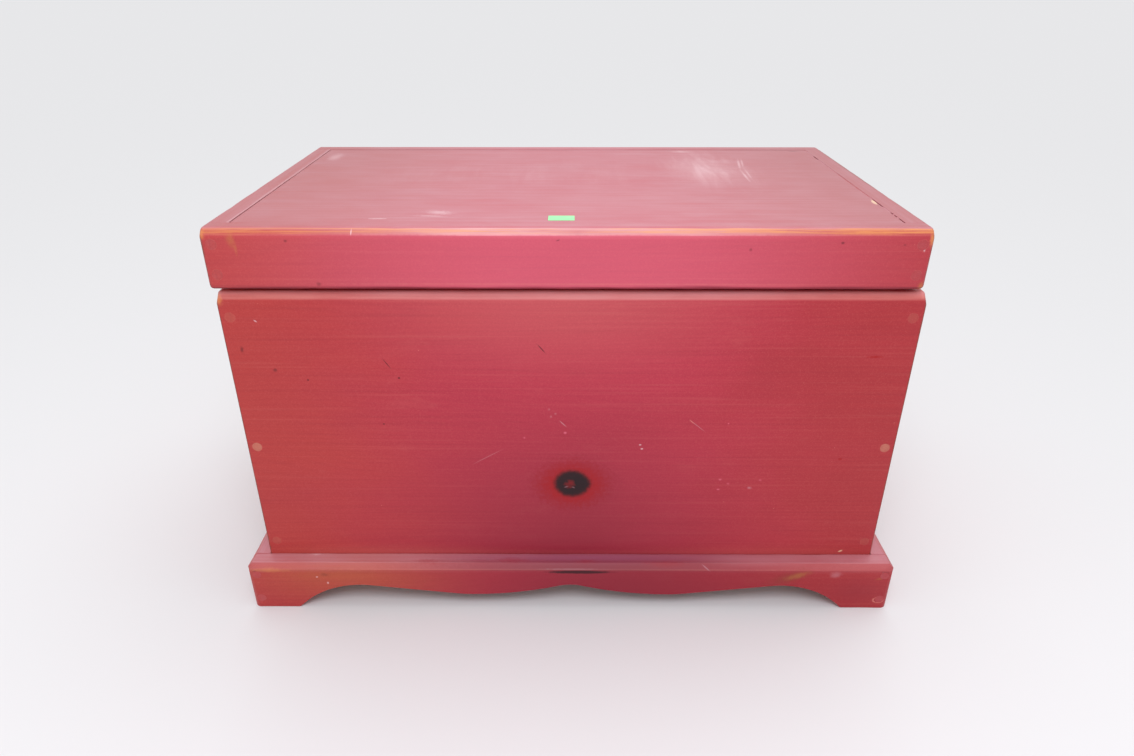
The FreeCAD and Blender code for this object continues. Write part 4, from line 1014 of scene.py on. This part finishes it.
class CHEST_OT_lid(bpy.types.Operator):
    """Make the painted rim and top panel of the lid"""

    bl_idname = "chest.lid"
    bl_label = "Lid"

    def execute(self, context):
        sizes, tint = context.scene.chest_sizes, tints()
        panel_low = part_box("lid_top_panel")[0]
        for seed, wall in enumerate(JOINTS, start=11):
            node = "lid_top_panel" if wall == "top" else f"lid_{wall}_rail"
            low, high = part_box(node)
            if wall == "top":
                high.z -= sizes.panel_drop
            piece = block("painted_" + node, low, high)
            if wall == "front":
                bevel_sides(piece, low, high, ["front top"], sizes.body_chamfer, segments=1)
            round_board(piece, low, high, JOINTS[wall], sizes.lid_arris, sizes.joint_arris)
            plugs = "lid_plugs" if wall in LONG_WALLS else None
            coat = prepared(piece, node, seed, low, high, [panel_low.z], plugs)
            # Dust, and a painted sheen, on the faces that look up.
            coat.dusted_and_sheened(depth=1.2 * MM)
            coat.dulled(strength=0.2)
            if wall == "front":
                coat.bared_chamfer("front", "top", sizes.body_chamfer, strength=0.52)
                # Painted highlight: the middle of the lid's front is made rosier and lighter.
                faded = coat.shader.step(abs(coat.shader.x), 560 * MM, 60 * MM)
                coat.cover(coat.on("front", 1 * MM) * faded * 0.36, tint.rosy_and_highlight)
                coat.line("front", "left", tint.olive, width=3 * MM, strength=0.6)
                coat.line("front", "right", tint.olive, width=3 * MM, strength=0.8)
                coat.line("front", "bottom", tint.deep, width=5 * MM, strength=0.8)
                coat.marked(plug_marks("lid_plugs", clearest=650))
                coat.marked(FRONT_RAIL_MARKS)
            elif wall == "left":
                coat.line("right", "top", tint.scuff_and_highlight, width=3.4 * MM, strength=0.2)
            elif wall == "right":
                coat.line("right", "top", tint.olive, width=6 * MM, strength=0.5)
            elif wall == "top":
                coat.line("back", "top", tint.deep, width=3 * MM, strength=0.6)
                coat.scuffed((212, 80), (95, 190), turn=6, strength=0.5)
                coat.scuffed((-60, 40), (340, 160), turn=0, strength=0.1)
                coat.marked(TOP_MARKS, flat=True)
            finish_board(piece, coat, node, wall, "lid", height=panel_low.z + ALMOST)
        return {"FINISHED"}


class CHEST_OT_plinth(bpy.types.Operator):
    """Make the painted boards of the plinth, with their scalloped lower edges"""

    bl_idname = "chest.plinth"
    bl_label = "Plinth"

    def execute(self, context):
        sizes = context.scene.chest_sizes
        for seed, wall in enumerate(WALLS, start=21):
            node = wall + "_skirt"
            low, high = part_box(node)
            piece = cad_copy(node, "painted_" + node)
            bevel_sharp(piece, sizes.skirt_arris, segments=3, angle=30, shortest=SHORTEST)
            if wall in LONG_WALLS:
                round_corners(piece, wall, sizes.skirt_corner)
            coat = prepared(piece, node, seed, low, high)
            # Dust and a painted sheen on the ledge and the top edges.
            coat.dusted_and_sheened(strength=1.05)
            coat.dusted_and_sheened(strength=0.3, depth=5 * MM)
            coat.thinned_chamfer(wall, "top", sizes.skirt_chamfer, strength=0.14)
            if wall == "front":
                coat.marked(SKIRT_MARKS)
                coat.marked(LEDGE_MARKS, flat=True, depth=sizes.skirt_chamfer)
            finish_board(piece, coat, node, wall, "chest")
        return {"FINISHED"}


class CHEST_OT_plugs(bpy.types.Operator):
    """Ease the wooden plugs and give them painted end grain"""

    bl_idname = "chest.plugs"
    bl_label = "Plugs"

    def execute(self, context):
        sizes, tint = context.scene.chest_sizes, tints()
        rubbed_height = 258 * MM
        for seed, node in enumerate(("body_plugs", "skirt_plugs", "lid_plugs"), start=31):
            piece = eased(node, "painted_" + node, sizes.plug_arris)
            coat = Coat("paint_" + node, seed, *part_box(node), axis=2)
            shader = coat.shader
            pores = shader.flecks(shader.mapped(), scale=1100, share=0.5, radius=0.22 * MM)
            coat.cover(pores * 0.4, tint.grime)
            if node == "body_plugs":
                shoulder = shader.step(abs(shader.z - rubbed_height), 30 * MM, 10 * MM)
                bald = (0.08 + shoulder * 0.26) * (0.4 + coat.ragged * 1.2)
                coat.cover(bald, tint.plug, roughness=0.6)
            else:
                coat.cover(coat.ragged * 0.2, tint.chalk_and_painted_light, roughness=0.5)
            paint(piece, coat.finish())
            hand_over(piece, "lid" if node.startswith("lid") else "chest", "wood_plug", node)
        return {"FINISHED"}


class CHEST_OT_inner_wood(bpy.types.Operator):
    """Ease the unpainted pieces: bottom, cleats and foot blocks"""

    bl_idname = "chest.inner_wood"
    bl_label = "Unpainted wood"

    def execute(self, context):
        sizes = context.scene.chest_sizes
        nodes = ["bottom_panel", *[wall + "_bottom_cleat" for wall in WALLS]]
        nodes += [f"{wall}_{end}_foot_block" for wall in LONG_WALLS for end in ENDS]
        nodes += [f"lid_{wall}_cleat" for wall in WALLS]
        for seed, node in enumerate(nodes, start=41):
            piece = eased(node, "pine_" + node, sizes.wood_arris, shortest=SHORTEST)
            paint(piece, bare_pine("pine_of_" + node, long_axis(*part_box(node)), seed))
            hand_over(piece, "lid" if node.startswith("lid") else "chest", "bare_pine", node)
        return {"FINISHED"}


class CHEST_OT_fittings(bpy.types.Operator):
    """Ease the hinges, the stays and the felt pads"""

    bl_idname = "chest.fittings"
    bl_label = "Hinges, stays and pads"

    def execute(self, context):
        sizes, tint = context.scene.chest_sizes, tints()
        brass = plated("brass_plate", tint.brass, 0.28)
        for side in ENDS:
            bodies = {"hinge_body_leaf": "chest", "hinge_lid_leaf": "lid", "hinge_pin": "chest",
                      "stay_body_bracket": "chest", "stay_lid_bracket": "lid", "stay_arm": "stay_" + side}
            for part, body in bodies.items():
                node = f"{side}_{part}"
                piece = eased(node, "plated_" + node, sizes.metal_arris, angle=50)
                paint(piece, brass)
                hand_over(piece, body, "stay_steel" if "stay" in part else "hinge_steel", node)
        pads = eased("lid_bumpers", "felt_pads", sizes.pad_round, segments=4)
        paint(pads, felt())
        hand_over(pads, "chest", "felt", "lid_bumpers")
        return {"FINISHED"}


class CHEST_OT_screws(bpy.types.Operator):
    """Cut the slots of the screws that show"""

    bl_idname = "chest.screws"
    bl_label = "Screws"

    def execute(self, context):
        sizes = context.scene.chest_sizes
        steel = plated("screw_steel", tints().steel, 0.3)
        bodies = {
            "hinge_body_screws": "chest", "hinge_lid_screws": "lid", "stay_body_screws": "chest",
            "stay_lid_screws": "lid", "bottom_cleat_screws": "chest", "lid_cleat_screws": "lid",
        }
        for seed, (node, body) in enumerate(bodies.items(), start=61):
            chance = random.Random(seed)
            piece = cad_copy(node, "slotted_" + node)
            slots = []
            for points in solids_of(node):
                low, high = box_of(points)
                axis = long_axis(low, high)
                outward = head_end(points, low, high, axis)
                head = (low + high) / 2
                head[axis] = high[axis] if outward > 0 else low[axis]
                slots.append(slot_cutter(head, axis, high, low, chance.uniform(0, math.pi), sizes))
            cut_out(piece, slots)
            smooth(piece, angle=30)
            paint(piece, steel)
            hand_over(piece, body, "screw_steel", node)
        for node in ("body_screws", "skirt_screws", "lid_screws"):
            paint(frame["nodes"][node], steel)
        return {"FINISHED"}


def head_end(points, low, high, axis):
    """1 if a screw's head is at its far end, and -1 at its near end: the head is the wide end."""
    middle = (low + high) / 2
    spread = {1: 0.0, -1: 0.0}
    for point in points:
        end = 1 if point[axis] > middle[axis] else -1
        flat = point - middle
        flat[axis] = 0
        spread[end] = max(spread[end], flat.length)
    return max(spread, key=spread.get)


def slot_cutter(head, axis, high, low, turn, sizes):
    """A bar that cuts one screw's slot."""
    across = max(high[other] - low[other] for other in range(3) if other != axis)
    size = Vector([across * 1.3] * 3)
    size[axis] = sizes.slot_depth * 2
    size[(axis + 1) % 3] = sizes.slot_width
    deselect()
    bpy.ops.mesh.primitive_cube_add(size=1, location=head, scale=size)
    bar = bpy.context.object
    bar.rotation_euler = unit(axis) * turn
    return bar


FILLED = ((-205, -199), (-190, -186), (-178, -150), (-112, 142), (168, 220))   # along Y, in millimetres
FILLER_DEPTH = 4 * MM
FILLER_ARRIS = 0.3 * MM
FILLER_PLAY = 0.05 * MM         # how far it bites into the boards, and how far it lies below the panel
FILLER_SEED = 71
TAB_PLACE = (-11.9 * MM, -205.2 * MM)


class CHEST_OT_trimmings(bpy.types.Operator):
    """Fill parts of the lid's right seam, and lay the paper tab on the lid"""

    bl_idname = "chest.trimmings"
    bl_label = "Seam filler and tab"

    def execute(self, context):
        sizes, tint = context.scene.chest_sizes, tints()
        panel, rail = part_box("lid_top_panel"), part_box("lid_right_rail")
        strips = []
        for start, end in FILLED:
            low = Vector((panel[1].x - FILLER_PLAY, start * MM, panel[1].z - FILLER_DEPTH))
            high = Vector((rail[0].x + FILLER_PLAY, end * MM, panel[1].z - sizes.panel_drop - FILLER_PLAY))
            strip = block("filler", low, high)
            bevel_sharp(strip, FILLER_ARRIS)
            strips.append(strip)
        pick(*strips)
        bpy.ops.object.join()
        filler = named(bpy.context.object, "seam_filler")
        smooth(filler)
        coat = Coat("paint_seam_filler", FILLER_SEED, *box_of_piece(filler))
        coat.cover(coat.shader.step(coat.blots, 0.3, 0.6) * 0.8, tint.chalk_and_painted_light, roughness=0.5)
        paint(filler, coat.finish())
        hand_over(filler, "lid", "red_painted_pine")

        deselect()
        bpy.ops.mesh.primitive_grid_add(x_subdivisions=24, y_subdivisions=16, size=1)
        tab = named(bpy.context.object, "paper_tab")
        tab.scale = (sizes.tab_length, sizes.tab_width, 1)
        tab.location = (*TAB_PLACE, panel[1].z - sizes.tab_thickness)
        settle(tab)
        apply_modifier(tab, "SOLIDIFY", thickness=sizes.tab_thickness, offset=1)
        bevel_sharp(tab, sizes.tab_thickness * 0.3)
        smooth(tab)
        paint(tab, paper())
        hand_over(tab, "lid", "felt")
        return {"FINISHED"}


# ---------------------------------------------------------------- the stage
class CHEST_OT_stage(bpy.types.Operator):
    """Lay the floor, and set the lights and the camera"""

    bl_idname = "chest.stage"
    bl_label = "Stage"

    def execute(self, context):
        scene, stage = context.scene, context.scene.chest_stage
        scene.view_settings.view_transform = "Standard"
        deselect()
        bpy.ops.mesh.primitive_plane_add(size=stage.floor_size)
        floor = named(bpy.context.object, "floor")
        shader = Shader("floor")
        paint(floor, shader.finish((*stage.floor, 1), 1.0, specular=0.0))

        scene.world = bpy.data.worlds.new("room")
        scene.world.use_nodes = True
        background = scene.world.node_tree.nodes["Background"]
        background.inputs["Color"].default_value = (1, 1, 1, 1)
        background.inputs["Strength"].default_value = stage.room

        key = self.lamp("key", "AREA", place=(0, -1.35, 1.75), aim=(0, -0.2, 0.35), power=stage.key)
        key.size = 0.7
        key.color = (0.94, 0.95, 1.0)
        top = self.lamp("top", "SUN", place=(0.5, 1.2, 2.4), aim=(0, 0, 0), power=stage.top)
        top.angle = math.radians(70)

        bpy.ops.object.camera_add(
            location=(stage.eye_side, -stage.eye_distance, stage.eye_height),
            rotation=(math.pi / 2 - stage.pitch, 0, stage.turn))
        camera = bpy.context.object
        camera.data.lens = stage.lens
        camera.data.sensor_width = 36
        scene.camera = camera
        return {"FINISHED"}

    def lamp(self, name, kind, place, aim, power):
        """Add a lamp that looks from its place at its aim."""
        direction = Vector(aim) - Vector(place)
        bpy.ops.object.light_add(type=kind, location=place,
                                 rotation=direction.to_track_quat("-Z", "Y").to_euler())
        lamp = named(bpy.context.object, name)
        lamp.data.energy = power
        return lamp.data


class CHEST_PT_panel(bpy.types.Panel):
    """The steps that finish the chest"""

    bl_label = "Blanket chest"
    bl_space_type = "VIEW_3D"
    bl_region_type = "UI"
    bl_category = "Chest"

    def draw(self, context):
        for step in STEPS:
            self.layout.operator(step.bl_idname)


STEPS = [CHEST_OT_stage, CHEST_OT_box, CHEST_OT_plinth, CHEST_OT_lid, CHEST_OT_plugs,
         CHEST_OT_inner_wood, CHEST_OT_fittings, CHEST_OT_screws, CHEST_OT_trimmings]
GROUPS = {"chest_colours": ChestColours, "chest_sizes": ChestSizes, "chest_stage": ChestStage}
CLASSES = [*GROUPS.values(), *STEPS, CHEST_PT_panel]


def register():
    """Register the classes and hang the properties on the scene."""
    for kind in CLASSES:
        bpy.utils.register_class(kind)
    for name, kind in GROUPS.items():
        setattr(bpy.types.Scene, name, bpy.props.PointerProperty(type=kind))


def unregister():
    """Take the properties and the classes away again."""
    for name in GROUPS:
        delattr(bpy.types.Scene, name)
    for kind in reversed(CLASSES):
        bpy.utils.unregister_class(kind)


def main():
    """Register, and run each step."""
    register()
    for step in STEPS:
        group, name = step.bl_idname.split(".")
        getattr(getattr(bpy.ops, group), name)()


if __name__ == "__main__":
    main()
